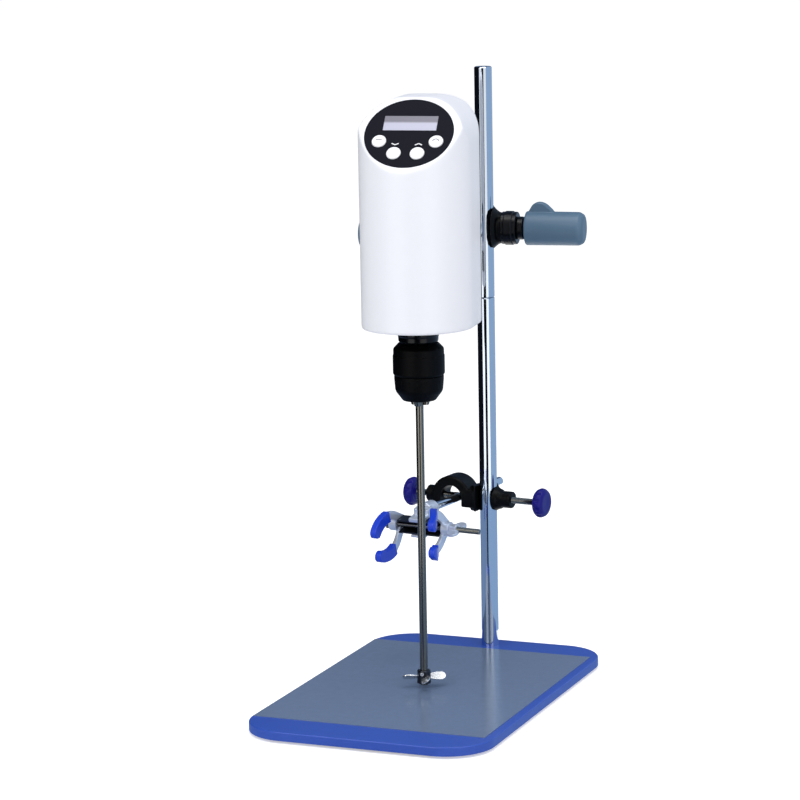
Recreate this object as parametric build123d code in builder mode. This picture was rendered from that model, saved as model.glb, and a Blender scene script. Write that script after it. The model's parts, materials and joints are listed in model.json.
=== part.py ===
from build123d import *
import os
from math import cos, pi, radians, sin, tan

# Overhead stirrer on a plate stand, with a finger clamp.  Millimetres, +Z up.
# The origin is on the bench, under the middle of the base plate; the front of the plate is at -Y.

# ---------------------------------------------------------------- clearances
slide_gap = 0.3  # between curved faces of pieces that move past each other
fit_gap = 0.05  # radial, for pins, bearings and threads
face_gap = 0.3  # between faces that turn or slide over each other
pocket_gap = 0.25  # round a piece that is set into a pocket

# ---------------------------------------------------------------- stand
plate_width = 222.0
plate_depth = 350.0
plate_thick = 8.0
plate_corner = 42.0
plate_edge = 1.0
foot_height = 2.4
foot_radius = 9.0
foot_inset = 32.0
foot_spigot = 3.0
foot_spigot_depth = 4.0
mat_width = 213.0
mat_depth = 275.0
mat_thick = 0.6
mat_side = 1.5  # mat to the plate's left edge
mat_back = 36.0  # mat to the plate's back edge
rod_radius = 8.0
rod_setback = 19.5  # rod axis to the plate's back edge
rod_joint_z = 338.0
rod_top = 548.0
rod_chamfer = 0.8
stud_radius = 4.0
stud_reach = 14.0
screw_head_radius = 6.5
screw_head_height = 4.2
screw_head_sunk = 0.4

plate_top = foot_height + plate_thick
rod_y = plate_depth / 2 - rod_setback

# ---------------------------------------------------------------- head boss (clamps rod and bar)
head_swing = 8.0  # the head's turn about the rod, in degrees
head_boss_z = 401.5
bar_radius = 6.5
bar_offset = 25.0  # bar axis to the left of the rod axis
bar_drop = 6.5  # bar axis under the rod screw's axis
bar_hook_radius = 9.0
boss_wall = 8.3
boss_bar_wall = 5.0  # round the bar hook, its screw lobe included
boss_lip = 11.5  # legs of the bar hook below the bar axis
boss_edge = 2.0
web_inset = 3.0  # web between the hooks below the ends of the rod hook
boss_half_height = 23.0
boss_half_depth = 16.0
cheek_thick = 4.0
barrel_radius = 12.0
boss_screw_radius = 5.0
boss_pad_thick = 3.0
collar_radius = 15.5
collar_length = 14.1
neck_radius = 10.5
neck_length = 7.6
grip_radius = 15.5
grip_length = 54.0
grip_end = 5.0
tab_length = 25.0
tab_height = 8.6
tab_thick = 8.0
tab_start = 2.0

# ---------------------------------------------------------------- stirrer head
head_reach = 159.0  # spindle axis in front of the rod axis
housing_bottom = 334.0
housing_top = 533.5
housing_radius = 49.2
housing_back = 56.0  # back face behind the spindle axis
housing_back_corner = 26.0
housing_wall = 2.6
crown_radius = 40.0
crown_back_radius = 14.0
panel_lean = 48.0  # panel face from the horizontal, in degrees
panel_z = 504.6
panel_y = -21.6
panel_half_width = 39.0
panel_half_height = 36.0
panel_thick = 2.0
panel_proud = 0.4  # panel face above the slanted face of the housing
lcd_width = 47.0
lcd_height = 15.3
lcd_up = 10.7
lcd_thick = 1.2
button_radius = 6.4
button_travel = 1.0
button_stand = 1.3
button_stem = 2.0
button_edge = 0.6
button_outer_x = 25.0
button_outer_up = -8.5
button_inner_x = 10.3
button_inner_up = -21.0
board_thick = 1.6
board_width = 60.0
board_height = 44.0
board_down = 4.0  # board centre below the panel centre
board_screw_x = 24.0
board_screw_down = 21.0
board_screw_up = 14.0
board_post = 2.5
key_switch = 2.4  # side of the switch under each button
key_switch_height = 0.2
lcd_sunk = 0.1
board_drop = 9.0  # board behind the panel's face
cover_thick = 3.0
cover_screw_radius = 1.5
cover_screw_head = 2.8
cover_screw_sunk = 1.6
pillar_radius = 4.0
pillar_height = 20.0
inlet_width = 28.0
inlet_height = 20.0
inlet_depth = 20.0
inlet_z = 358.0
inlet_x = -13.0
inlet_flange = 1.5
inlet_border = 1.0  # flange beyond the hole in the housing
inlet_socket_width = 22.0
inlet_socket_height = 13.0
inlet_socket_corner = 2.0
inlet_pin_width = 2.0
inlet_pin_height = 4.0
inlet_pin_length = 10.0
inlet_pin_x = 6.5
inlet_pin_up = 2.0
inlet_floor = 1.0
rocker_width = 11.0
rocker_height = 18.0
rocker_x = 13.5
rocker_tilt = 8.0
rocker_depth = 3.0  # pivot behind the back face
rocker_proud = 0.5
flange_radius = 20.0
flange_thick = 5.0
flange_screw_circle = 14.5
flange_screw_radius = 1.9
flange_screw_head = 3.2
flange_screw_height = 1.6
flange_screw_reach = 2.0  # past the inside of the housing
bar_back = 38.0  # bar end behind the rod axis
bar_chamfer = 1.0
motor_radius = 31.0
motor_height = 66.0
motor_floor = 402.0
motor_wall = 2.0
rotor_radius = 24.0
rotor_low = 8.0  # rotor ends inside the can
rotor_edge = 1.0
bracket_thick = 4.0
spindle_radius = 6.0
spindle_clear = 2.0  # round the spindle where it passes through a wall
bearing_radius = 13.0
bearing_width = 8.0
bearing_step = 2.0
bearing_lower_z = 345.0
bearing_upper_z = 380.0
column_radius = 18.0

# ---------------------------------------------------------------- chuck, shaft, impeller
chuck_tip = 265.5
sleeve_radius = 21.7
collet_radius = 22.7
sleeve_low = 270.0
sleeve_nose = 8.5
sleeve_nose_radius = 14.4
sleeve_waist_radius = 20.8
sleeve_split = 292.0
sleeve_top = 321.0
neck_low_radius = 17.4
neck_high_radius = 19.2
shaft_radius = 3.5
shaft_tip = 13.5
shaft_grip_top = 312.0
shaft_chamfer = 0.5
jaw_radius = 3.2
jaw_lean = 14.0
jaw_inset = 1.76  # jaw axis outside the shaft, at the tip
jaw_travel = 2.4
jaw_length = 20.0
jaw_room = 1.0  # bore past the jaw at the end of its travel
jaw_nose = 2.0
core_radius = 16.0
core_tip_radius = 10.0
core_low = 271.0
core_taper = 10.0
collet_chamfer = 1.2
collet_shoulder = 4.0
shaft_bore_top = 314.0
flute_count = 18
flute_radius = 1.3
flute_margin = 3.0
impeller_radius = 19.5
impeller_hub_radius = 6.0
impeller_hub_height = 12.0
impeller_blade_thick = 1.2
impeller_blade_width = 9.0
impeller_pitch = 35.0
impeller_blades = 4
blade_turn = 20.0  # first blade from the right, in degrees
blade_corner = 3.0
impeller_z = 15.0
set_screw_radius = 1.6
set_screw_down = 2.6
set_screw_length = 4.0

# ---------------------------------------------------------------- clamp boss and clamp
clamp_swing = -7.2
clamp_boss_z = 150.0
clamp_bar_radius = 4.0
clamp_bar_offset = 27.5
clamp_bar_drop = 0.5
clamp_hook_radius = 11.0
clamp_rod_wall = 6.6
clamp_wall = 8.9
clamp_lip = 8.5
clamp_half_height = 12.0
clamp_half_depth = 11.0
clamp_lobe_radius = 7.8
clamp_lobe_length = 17.0
clamp_screw_radius = 3.0
clamp_pad_thick = 2.5
clamp_screw_reach = 24.0  # bare thread between the lobe and the rod screw's knob
clamp_bar_screw_reach = 12.0
knob_radius = 13.5
knob_thick = 11.0
knob_chamfer = 3.2
knob_flutes = 10
knob_flute_radius = 2.6
knob_flute_out = 1.2  # flute centres outside the rim
knob_socket = 7.7  # screw end inside the knob
clamp_bar_front = 70.0
clamp_bar_back = 76.0
clamp_bar_chamfer = 0.6
clamp_pitch_down = 13.0
clamp_head_y = -80.0
clamp_head_drop = 13.0
channel_length = 42.0
channel_height = 13.0
channel_depth = 12.0
channel_wall = 1.5
yoke_width = 15.0
yoke_hub_radius = 7.5
yoke_hub_length = 15.0
thread_radius = 2.6
thread_end = 60.0
square_head = 8.0
finger_thick = 3.6
finger_width = 8.0
finger_root = 2.0  # height of the fingers behind the thread
finger_fork = 4.0
finger_shoulder = 10.8  # height of the fingers where they fork
finger_spread = 12.5  # height of the tips
finger_length = 38.0
left_splay = 1.5  # tips further out than the root
right_splay = 10.5
left_tilt = 6.0  # downward turn about the thread, in degrees
right_tilt = -10.6
finger_reach_back = 6.0
finger_boss = 6.0
finger_boss_radius = 6.5
tip_wall = 1.3
tip_start = 16.0
wing_span = 11.0
wing_rise = 6.0
wing_thick = 2.4
wing_hub_radius = 5.0
wing_hub_length = 7.0
thread_head = 4.0

os.makedirs("parts", exist_ok=True)


def keep(part, label):
    """Label a finished piece and write it to its STEP file."""
    part.label = label
    export_step(part, f"parts/{label}.step")


def local(origin_frame, plane):
    """The given plane, stated in a sub-assembly's own frame."""
    return Plane(origin_frame * plane)


# ================================================================ stand
plate_plane = Plane.XY.offset(foot_height)
foot_spacing_x = plate_width - 2 * foot_inset
foot_spacing_y = plate_depth - 2 * foot_inset

with BuildPart() as base_plate:
    with BuildSketch(plate_plane):
        RectangleRounded(plate_width, plate_depth, plate_corner)
    extrude(amount=plate_thick)
    fillet(base_plate.faces().sort_by(Axis.Z)[-1].edges(), plate_edge)
    with BuildSketch(plate_plane):
        with GridLocations(foot_spacing_x, foot_spacing_y, 2, 2):
            Circle(foot_spigot + fit_gap)
    extrude(amount=foot_spigot_depth, mode=Mode.SUBTRACT)
    with BuildSketch(plate_plane):
        with Locations((0, rod_y)):
            Circle(screw_head_radius + pocket_gap)
    extrude(amount=screw_head_height + screw_head_sunk, mode=Mode.SUBTRACT)
    with BuildSketch(plate_plane):
        with Locations((0, rod_y)):
            Circle(stud_radius + fit_gap)
    extrude(amount=plate_thick, mode=Mode.SUBTRACT)
keep(base_plate.part, "base_plate")

with BuildPart() as base_mat:
    mat_x = (mat_width - plate_width) / 2 + mat_side
    mat_y = plate_depth / 2 - mat_back - mat_depth / 2
    with BuildSketch(Plane.XY.offset(plate_top)):
        with Locations((mat_x, mat_y)):
            Rectangle(mat_width, mat_depth)
    extrude(amount=mat_thick)
keep(base_mat.part, "base_mat")

with BuildPart() as base_feet:
    with BuildSketch(Plane.XY):
        with GridLocations(foot_spacing_x, foot_spacing_y, 2, 2):
            Circle(foot_radius)
    extrude(amount=foot_height)
    with BuildSketch(plate_plane):
        with GridLocations(foot_spacing_x, foot_spacing_y, 2, 2):
            Circle(foot_spigot)
    extrude(amount=foot_spigot_depth - fit_gap)
keep(base_feet.part, "base_feet")

with BuildPart() as rod_screw:
    head_seat = foot_height + screw_head_height + screw_head_sunk
    with BuildSketch(Plane((0, rod_y, head_seat))):
        Circle(screw_head_radius)
    extrude(amount=-screw_head_height)
    with BuildSketch(Plane((0, rod_y, head_seat - screw_head_height))):
        RegularPolygon(stud_radius * 0.75, 6)
    extrude(amount=screw_head_height / 2, mode=Mode.SUBTRACT)
    with BuildSketch(Plane((0, rod_y, head_seat))):
        Circle(stud_radius)
    extrude(amount=plate_top - head_seat + stud_reach)
keep(rod_screw.part, "rod_screw")


def rod_section(low, high, hole_low, hole_high, end_chamfer):
    """A round rod from one height to another, tapped at the ends that are screwed together."""
    with BuildPart() as rod:
        with BuildSketch(Plane((0, rod_y, low))):
            Circle(rod_radius)
        extrude(amount=high - low)
        chamfer(rod.edges(), end_chamfer)
        with BuildSketch(Plane((0, rod_y, low))):
            Circle(stud_radius + fit_gap)
        extrude(amount=hole_low, mode=Mode.SUBTRACT)
        if hole_high > 0:
            with BuildSketch(Plane((0, rod_y, high))):
                Circle(stud_radius + fit_gap)
            extrude(amount=-hole_high, mode=Mode.SUBTRACT)
    return rod.part


tapped_depth = stud_reach + 2
keep(rod_section(plate_top, rod_joint_z, tapped_depth, tapped_depth, rod_chamfer), "support_rod_lower")
keep(rod_section(rod_joint_z, rod_top, tapped_depth, 0, rod_chamfer), "support_rod_upper")

with BuildPart() as rod_joint_stud:
    with BuildSketch(Plane((0, rod_y, rod_joint_z - stud_reach))):
        Circle(stud_radius)
    extrude(amount=2 * stud_reach)
    chamfer(rod_joint_stud.edges(), rod_chamfer)
keep(rod_joint_stud.part, "rod_joint_stud")


# ================================================================ bosses
def boss_body(boss, bar_x, bar_z, held_radius, hook_radius, walls, lobes, half_height, half_depth,
              lobe_radius, lip, screw_radius, cheek, edge):
    """A boss head: a hook round the rod, open to the front, and a hook over the bar, open downwards.

    The boss frame has its origin on the rod axis, X to the right and Y to the back.  Each hook has a
    lobe with a bore for its clamp screw; walls and lobes are pairs, for the rod and for the bar; lip is
    how far the legs go below the bar, and cheek the thickness of the discs beside the hooks.
    """
    rod_wall, bar_wall = walls
    rod_lobe, bar_lobe = lobes
    rod_bore = rod_radius + slide_gap
    hook_x = bar_x + held_radius + slide_gap - hook_radius
    hook_outer = hook_radius + bar_wall
    across = 4 * hook_radius
    long_way = 8 * half_height
    with BuildPart() as rod_hook:
        with BuildSketch(local(boss, Plane.XY.offset(-half_height))):
            Circle(rod_bore + rod_wall)
            with Locations((0, -rod_bore / 2)):
                Rectangle(2 * (rod_bore + rod_wall), rod_bore)
        extrude(amount=2 * half_height)
        chamfer(rod_hook.edges().group_by(Axis.Z)[0] + rod_hook.edges().group_by(Axis.Z)[-1], edge / 2)
    with BuildPart() as bar_hook:
        with BuildSketch(local(boss, Plane.XZ.offset(-half_depth))):
            with Locations((hook_x, bar_z)):
                Circle(hook_outer)
            with Locations((hook_x, bar_z - lip)):
                Rectangle(4 * hook_outer, across, align=(Align.CENTER, Align.MAX), mode=Mode.SUBTRACT)
            with Locations((hook_x, bar_z)):
                Rectangle(2 * hook_outer, lip, align=(Align.CENTER, Align.MAX))
            Rectangle(-hook_x, 2 * (half_height - web_inset), align=(Align.MAX, Align.CENTER))
        extrude(amount=2 * half_depth)
        ends = Axis(boss.origin, boss.y_dir)
        bar_faces = bar_hook.faces().sort_by(ends)
        chamfer(bar_faces[0].edges() + bar_faces[-1].edges(), edge / 2)
    with BuildPart() as body:
        add(rod_hook.part)
        add(bar_hook.part)
        with BuildSketch(local(boss, Plane.YZ)):
            Circle(lobe_radius)
        extrude(amount=rod_bore + rod_lobe)
        with BuildSketch(local(boss, Plane.YZ.offset(hook_x))):
            with Locations((0, bar_z)):
                Circle(lobe_radius)
        extrude(amount=-(hook_radius + bar_lobe))
        if cheek > 0:
            with BuildSketch(local(boss, Plane.YZ.offset(rod_bore))):
                Circle(half_height)
            extrude(amount=cheek)
            with BuildSketch(local(boss, Plane.YZ.offset(hook_x - hook_radius))):
                with Locations((0, bar_z)):
                    Circle(half_height)
            extrude(amount=-cheek)
        with BuildSketch(local(boss, Plane.XY.offset(-long_way / 2))):
            Circle(rod_bore)
            Rectangle(2 * rod_bore, across, align=(Align.CENTER, Align.MAX))
        extrude(amount=long_way, mode=Mode.SUBTRACT)
        with BuildSketch(local(boss, Plane.XZ.offset(-long_way / 2))):
            with Locations((hook_x, bar_z)):
                Circle(hook_radius)
                Rectangle(2 * hook_radius, across, align=(Align.CENTER, Align.MAX))
        extrude(amount=long_way, mode=Mode.SUBTRACT)
        with BuildSketch(local(boss, Plane.YZ)):
            Circle(screw_radius + fit_gap)
        extrude(amount=long_way, mode=Mode.SUBTRACT)
        with BuildSketch(local(boss, Plane.YZ.offset(hook_x))):
            with Locations((0, bar_z)):
                Circle(screw_radius + fit_gap)
        extrude(amount=-long_way, mode=Mode.SUBTRACT)
    return body.part


def screw_plane(boss, x, z, outward):
    """A screw's own frame: origin on the axis of what it clamps, Z along the screw, X upwards."""
    return local(boss, Plane(origin=(x, 0, z), x_dir=(0, 0, 1), z_dir=(outward, 0, 0)))


def round_bar(frame, radius, low, high, edge=0.0, bore=0.0):
    """A round bar or ring along a frame's Z, from low to high, with its end edges chamfered."""
    with BuildPart() as bar:
        with BuildSketch(frame.offset(low)):
            Circle(radius)
        extrude(amount=high - low)
        if edge > 0:
            chamfer(bar.edges(), edge)
        if bore > 0:
            with BuildSketch(frame.offset(low)):
                Circle(bore)
            extrude(amount=high - low, mode=Mode.SUBTRACT)
    return bar.part


def screw_grip(frame, low):
    """The round hand grip of a clamp screw, with a thumb tab near its inner end."""
    side = Plane(frame * Plane.XZ)
    tab_root = grip_radius - grip_end
    with BuildPart() as grip:
        with BuildSketch(frame.offset(low)):
            Circle(grip_radius)
        extrude(amount=grip_length)
        fillet(grip.edges().sort_by(Axis(frame.origin, frame.z_dir))[-1], grip_end)
        with BuildSketch(side.offset(-tab_thick / 2)):
            with BuildLine():
                tab_low = low + tab_start
                crest = Spline(
                    (tab_root, tab_low),
                    (grip_radius, tab_low),
                    (grip_radius + tab_height, tab_low + 0.4 * tab_length),
                    (grip_radius, tab_low + tab_length),
                )
                Polyline(crest @ 1, (tab_root, tab_low + tab_length), crest @ 0)
            make_face()
        extrude(amount=tab_thick)
        with BuildSketch(frame.offset(low)):
            Circle(boss_screw_radius + fit_gap)
        extrude(amount=grip_length / 3, mode=Mode.SUBTRACT)
    return grip.part


head_boss = Plane(Location((0, rod_y, head_boss_z), (0, 0, head_swing)))
rod_bore = rod_radius + slide_gap
head_hook_x = -bar_offset + bar_radius + slide_gap - bar_hook_radius
keep(
    boss_body(head_boss, -bar_offset, -bar_drop, bar_radius, bar_hook_radius,
              (boss_wall, boss_bar_wall), (boss_wall, boss_bar_wall), boss_half_height, boss_half_depth,
              barrel_radius, boss_lip, boss_screw_radius, cheek_thick, boss_edge),
    "head_boss_body",
)

head_rod_screw = screw_plane(head_boss, 0, 0, 1)
head_bar_screw = screw_plane(head_boss, -bar_offset, -bar_drop, -1)
wall_past_rod = rod_bore + boss_wall
wall_past_bar = -bar_offset - head_hook_x + bar_hook_radius + boss_bar_wall
for name, frame, seat, wall_end in (
    ("head_rod", head_rod_screw, rod_radius + slide_gap, wall_past_rod),
    ("head_bar", head_bar_screw, bar_radius + slide_gap, wall_past_bar),
):
    collar_end = wall_end + collar_length
    neck_end = collar_end + face_gap + neck_length
    pad_end = seat + boss_pad_thick
    keep(round_bar(frame, boss_screw_radius, seat, pad_end), f"{name}_pad")
    keep(round_bar(frame, collar_radius, wall_end, collar_end, 2.2, boss_screw_radius + fit_gap),
         f"{name}_collar")
    with BuildPart() as screw:
        with BuildSketch(frame.offset(pad_end)):
            Circle(boss_screw_radius)
        extrude(amount=neck_end + grip_length / 3 - 1 - pad_end)
        with BuildSketch(frame.offset(collar_end + face_gap)):
            Circle(neck_radius)
        extrude(amount=neck_length)
    keep(screw.part, f"{name}_screw")
    keep(screw_grip(frame, neck_end), f"{name}_grip")


# ================================================================ stirrer head
stir = Plane(Location((0, rod_y, 0), (0, 0, head_swing)) * Location((-bar_offset, -head_reach, 0)))
lean = radians(panel_lean)
panel_face = local(
    stir,
    Plane(origin=(0, panel_y, panel_z), x_dir=(1, 0, 0), z_dir=(0, -sin(lean), cos(lean))),
)
bar_z = head_boss_z - bar_drop


def housing_form(inset, low):
    """The head's outer form drawn in by inset all round, from the height low upwards."""
    radius = housing_radius - inset
    back = housing_back - inset
    top = housing_top - inset
    front = -housing_radius - 1
    face_y = panel_y + inset / sin(lean)
    with BuildPart() as form:
        with BuildSketch(stir.offset(low)) as plan:
            Circle(radius)
            Rectangle(2 * radius, back, align=(Align.CENTER, Align.MIN))
            fillet(plan.vertices().group_by(Axis.Y)[-1], housing_back_corner - inset)
        extrude(amount=top - low)
        with BuildSketch(local(stir, Plane.XZ.offset(-housing_back - 1))) as crown:
            with Locations((0, low)):
                Rectangle(2 * radius, top - low, align=(Align.CENTER, Align.MIN))
            fillet(crown.vertices().group_by(Axis.Y)[-1], crown_radius - inset)
        extrude(amount=housing_back + housing_radius + 2, mode=Mode.INTERSECT)
        with BuildSketch(local(stir, Plane.YZ.offset(-housing_radius - 1))) as side:
            with BuildLine():
                Polyline(
                    (front, low),
                    (front, panel_z + (front - face_y) * tan(lean)),
                    (face_y + (top - panel_z) / tan(lean), top),
                    (back, top),
                    (back, low),
                    close=True,
                )
            make_face()
            fillet(side.vertices().sort_by(Axis.Y)[-2:].sort_by(Axis.X)[-1], crown_back_radius - inset)
        extrude(amount=2 * housing_radius + 2, mode=Mode.INTERSECT)
    return form.part


corner_x = housing_radius - housing_back_corner
corner_reach = (housing_back_corner - housing_wall - pillar_radius + 1) * cos(pi / 4)
cover_screw_points = [
    (side * x, y)
    for side in (-1, 1)
    for x, y in (
        (housing_radius - housing_wall - pillar_radius + 1, 0),
        (corner_x + corner_reach, housing_back - housing_back_corner + corner_reach),
    )
]
board_points = [(side * board_screw_x, up) for up in (-board_screw_down, board_screw_up) for side in (-1, 1)]
button_points = [
    (-button_outer_x, button_outer_up),
    (-button_inner_x, button_inner_up),
    (button_inner_x, button_inner_up),
    (button_outer_x, button_outer_up),
]
back_face = local(stir, Plane(origin=(0, housing_back, 0), x_dir=(-1, 0, 0), z_dir=(0, 1, 0)))
cover_top = housing_bottom + cover_thick

with BuildPart() as housing:
    add(housing_form(0, housing_bottom))
    add(housing_form(housing_wall, housing_bottom), mode=Mode.SUBTRACT)
    with BuildSketch(stir.offset(cover_top)):
        with Locations(*cover_screw_points):
            Circle(pillar_radius)
    extrude(amount=pillar_height)
    with BuildSketch(stir.offset(cover_top)):
        with Locations(*cover_screw_points):
            Circle(cover_screw_radius + fit_gap)
    extrude(amount=pillar_height / 2, mode=Mode.SUBTRACT)
    with BuildSketch(panel_face.offset(-housing_wall)):
        with Locations(*board_points):
            Circle(board_post)
    extrude(amount=housing_wall - board_drop)
    with BuildSketch(panel_face):
        Ellipse(panel_half_width + pocket_gap, panel_half_height + pocket_gap)
    extrude(amount=panel_proud - panel_thick, mode=Mode.SUBTRACT)
    with BuildSketch(panel_face):
        with Locations(*button_points):
            Circle(button_radius + slide_gap)
    extrude(amount=-2 * housing_wall, mode=Mode.SUBTRACT)
    with BuildSketch(back_face):
        with Locations((-inlet_x, inlet_z)):
            Rectangle(inlet_width - 2 * inlet_border, inlet_height - 2 * inlet_border)
        with Locations((-rocker_x, inlet_z)):
            Rectangle(rocker_width + 2 * slide_gap, rocker_height + 2 * slide_gap)
        with Locations((0, bar_z)):
            with PolarLocations(flange_screw_circle, 4, 45):
                Circle(flange_screw_radius + fit_gap)
    extrude(amount=-2 * housing_wall, mode=Mode.SUBTRACT)
keep(housing.part, "housing")

with BuildPart() as housing_cover:
    with BuildSketch(stir.offset(housing_bottom)) as cover_plan:
        Circle(housing_radius - housing_wall - pocket_gap)
        Rectangle(2 * (housing_radius - housing_wall - pocket_gap), housing_back - housing_wall - pocket_gap,
                  align=(Align.CENTER, Align.MIN))
        fillet(cover_plan.vertices().group_by(Axis.Y)[-1], housing_back_corner - housing_wall - pocket_gap)
    extrude(amount=cover_thick)
    with BuildSketch(stir.offset(housing_bottom)):
        Circle(neck_high_radius)
    with BuildSketch(stir.offset(sleeve_top + 1)):
        Circle(neck_low_radius)
    loft()
    with BuildSketch(stir.offset(sleeve_top)):
        Circle(spindle_radius + spindle_clear)
    extrude(amount=2 * cover_thick + housing_bottom - sleeve_top, mode=Mode.SUBTRACT)
    with BuildSketch(stir.offset(housing_bottom)):
        with Locations(*cover_screw_points):
            Circle(cover_screw_radius + fit_gap)
    extrude(amount=cover_thick, mode=Mode.SUBTRACT)
    with BuildSketch(stir.offset(housing_bottom)):
        with Locations(*cover_screw_points):
            Circle(cover_screw_head + pocket_gap)
    extrude(amount=cover_screw_sunk, mode=Mode.SUBTRACT)
keep(housing_cover.part, "housing_cover")

with BuildPart() as cover_screws:
    with BuildSketch(stir.offset(housing_bottom)):
        with Locations(*cover_screw_points):
            Circle(cover_screw_head)
    extrude(amount=cover_screw_sunk)
    with BuildSketch(stir.offset(housing_bottom)):
        with Locations(*cover_screw_points):
            Circle(cover_screw_radius)
    extrude(amount=cover_thick + pillar_height / 2 - 1)
keep(cover_screws.part, "cover_screws")

with BuildPart() as control_panel:
    with BuildSketch(panel_face.offset(panel_proud)):
        Ellipse(panel_half_width, panel_half_height)
    extrude(amount=-panel_thick)
    with BuildSketch(panel_face):
        with Locations(*button_points):
            Circle(button_radius + slide_gap)
    extrude(amount=panel_thick, both=True, mode=Mode.SUBTRACT)
    with BuildSketch(panel_face.offset(panel_proud)):
        with Locations((0, lcd_up)):
            Rectangle(lcd_width + 2 * fit_gap, lcd_height + 2 * fit_gap)
    extrude(amount=-lcd_thick, mode=Mode.SUBTRACT)
keep(control_panel.part, "control_panel")

with BuildPart() as lcd_window:
    with BuildSketch(panel_face.offset(panel_proud - lcd_thick)):
        with Locations((0, lcd_up)):
            Rectangle(lcd_width, lcd_height)
    extrude(amount=lcd_thick - lcd_sunk)
keep(lcd_window.part, "lcd_window")

for number, (across, up) in enumerate(button_points, 1):
    with BuildPart() as button:
        with BuildSketch(panel_face.offset(button_stand)):
            with Locations((across, up)):
                Circle(button_radius)
        extrude(amount=-button_stand - panel_thick - housing_wall)
        fillet(button.edges().sort_by(Axis(panel_face.origin, panel_face.z_dir))[-1], button_edge)
        with BuildSketch(panel_face.offset(-panel_thick)):
            with Locations((across, up)):
                Circle(button_stem)
        extrude(amount=-(board_drop - panel_thick - button_travel - slide_gap))
    keep(button.part, f"button_{number}")

with BuildPart() as control_board:
    with BuildSketch(panel_face.offset(-board_drop)):
        with Locations((0, -board_down)):
            Rectangle(board_width, board_height)
    extrude(amount=-board_thick)
    with BuildSketch(panel_face.offset(-board_drop)):
        with Locations(*button_points):
            Rectangle(key_switch, key_switch)
    extrude(amount=key_switch_height)
keep(control_board.part, "control_board")

with BuildPart() as support_bar:
    with BuildSketch(back_face):
        with Locations((0, bar_z)):
            Circle(flange_radius)
    extrude(amount=flange_thick)
    with BuildSketch(back_face):
        with Locations((0, bar_z)):
            with PolarLocations(flange_screw_circle, 4, 45):
                Circle(flange_screw_radius + fit_gap)
    extrude(amount=flange_thick, mode=Mode.SUBTRACT)
    with BuildSketch(back_face.offset(flange_thick)):
        with Locations((0, bar_z)):
            Circle(bar_radius)
    extrude(amount=head_reach + bar_back - housing_back - flange_thick)
    chamfer(support_bar.edges().sort_by(Axis(stir.origin, stir.y_dir))[-1], bar_chamfer)
keep(support_bar.part, "support_bar")

with BuildPart() as flange_screws:
    with BuildSketch(back_face.offset(flange_thick)):
        with Locations((0, bar_z)):
            with PolarLocations(flange_screw_circle, 4, 45):
                Circle(flange_screw_head)
    extrude(amount=flange_screw_height)
    with BuildSketch(back_face.offset(flange_thick)):
        with Locations((0, bar_z)):
            with PolarLocations(flange_screw_circle, 4, 45):
                Circle(flange_screw_radius)
    extrude(amount=-flange_thick - housing_wall - flange_screw_reach)
keep(flange_screws.part, "flange_screws")

with BuildPart() as mains_inlet:
    with BuildSketch(back_face):
        with Locations((-inlet_x, inlet_z)):
            Rectangle(inlet_width, inlet_height)
    extrude(amount=inlet_flange)
    with BuildSketch(back_face):
        with Locations((-inlet_x, inlet_z)):
            Rectangle(inlet_width - 2 * inlet_border - 2 * pocket_gap,
                      inlet_height - 2 * inlet_border - 2 * pocket_gap)
    extrude(amount=-inlet_depth)
    with BuildSketch(back_face.offset(inlet_flange)):
        with Locations((-inlet_x, inlet_z)):
            RectangleRounded(inlet_socket_width, inlet_socket_height, inlet_socket_corner)
    extrude(amount=inlet_floor - inlet_depth - inlet_flange, mode=Mode.SUBTRACT)
    with BuildSketch(back_face.offset(inlet_floor - inlet_depth)):
        with Locations((-inlet_x, inlet_z)):
            with Locations((0, inlet_pin_up), (-inlet_pin_x, -inlet_pin_up), (inlet_pin_x, -inlet_pin_up)):
                Rectangle(inlet_pin_width, inlet_pin_height)
    extrude(amount=inlet_pin_length)
keep(mains_inlet.part, "mains_inlet")

with BuildPart() as power_rocker:
    rocker_half = rocker_height / 2
    rocker_rise = rocker_half * tan(radians(2 * rocker_tilt))
    pivot = (housing_back - rocker_depth, inlet_z)
    with BuildSketch(local(stir, Plane.YZ.offset(rocker_x - rocker_width / 2))):
        with Locations(pivot):
            Circle(rocker_half)
        with BuildLine():
            Polyline(
                (pivot[0] - rocker_depth, inlet_z - rocker_height),
                (pivot[0] + rocker_depth + rocker_proud, inlet_z - rocker_height),
                (pivot[0] + rocker_depth + rocker_proud, inlet_z),
                (pivot[0] + rocker_depth + rocker_proud + rocker_rise, inlet_z + rocker_half),
                (pivot[0] - rocker_depth, inlet_z + rocker_half),
                close=True,
            )
        make_face(mode=Mode.INTERSECT)
    extrude(amount=rocker_width)
keep(power_rocker.part, "power_rocker")

with BuildPart() as motor_can:
    with BuildSketch(stir.offset(motor_floor)):
        Circle(motor_radius)
    extrude(amount=motor_height)
    with BuildSketch(stir.offset(motor_floor + motor_wall)):
        Circle(motor_radius - motor_wall)
    extrude(amount=motor_height - 2 * motor_wall, mode=Mode.SUBTRACT)
    with BuildSketch(stir.offset(motor_floor)):
        Circle(spindle_radius + spindle_clear)
    extrude(amount=motor_wall, mode=Mode.SUBTRACT)
keep(motor_can.part, "motor_can")

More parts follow.
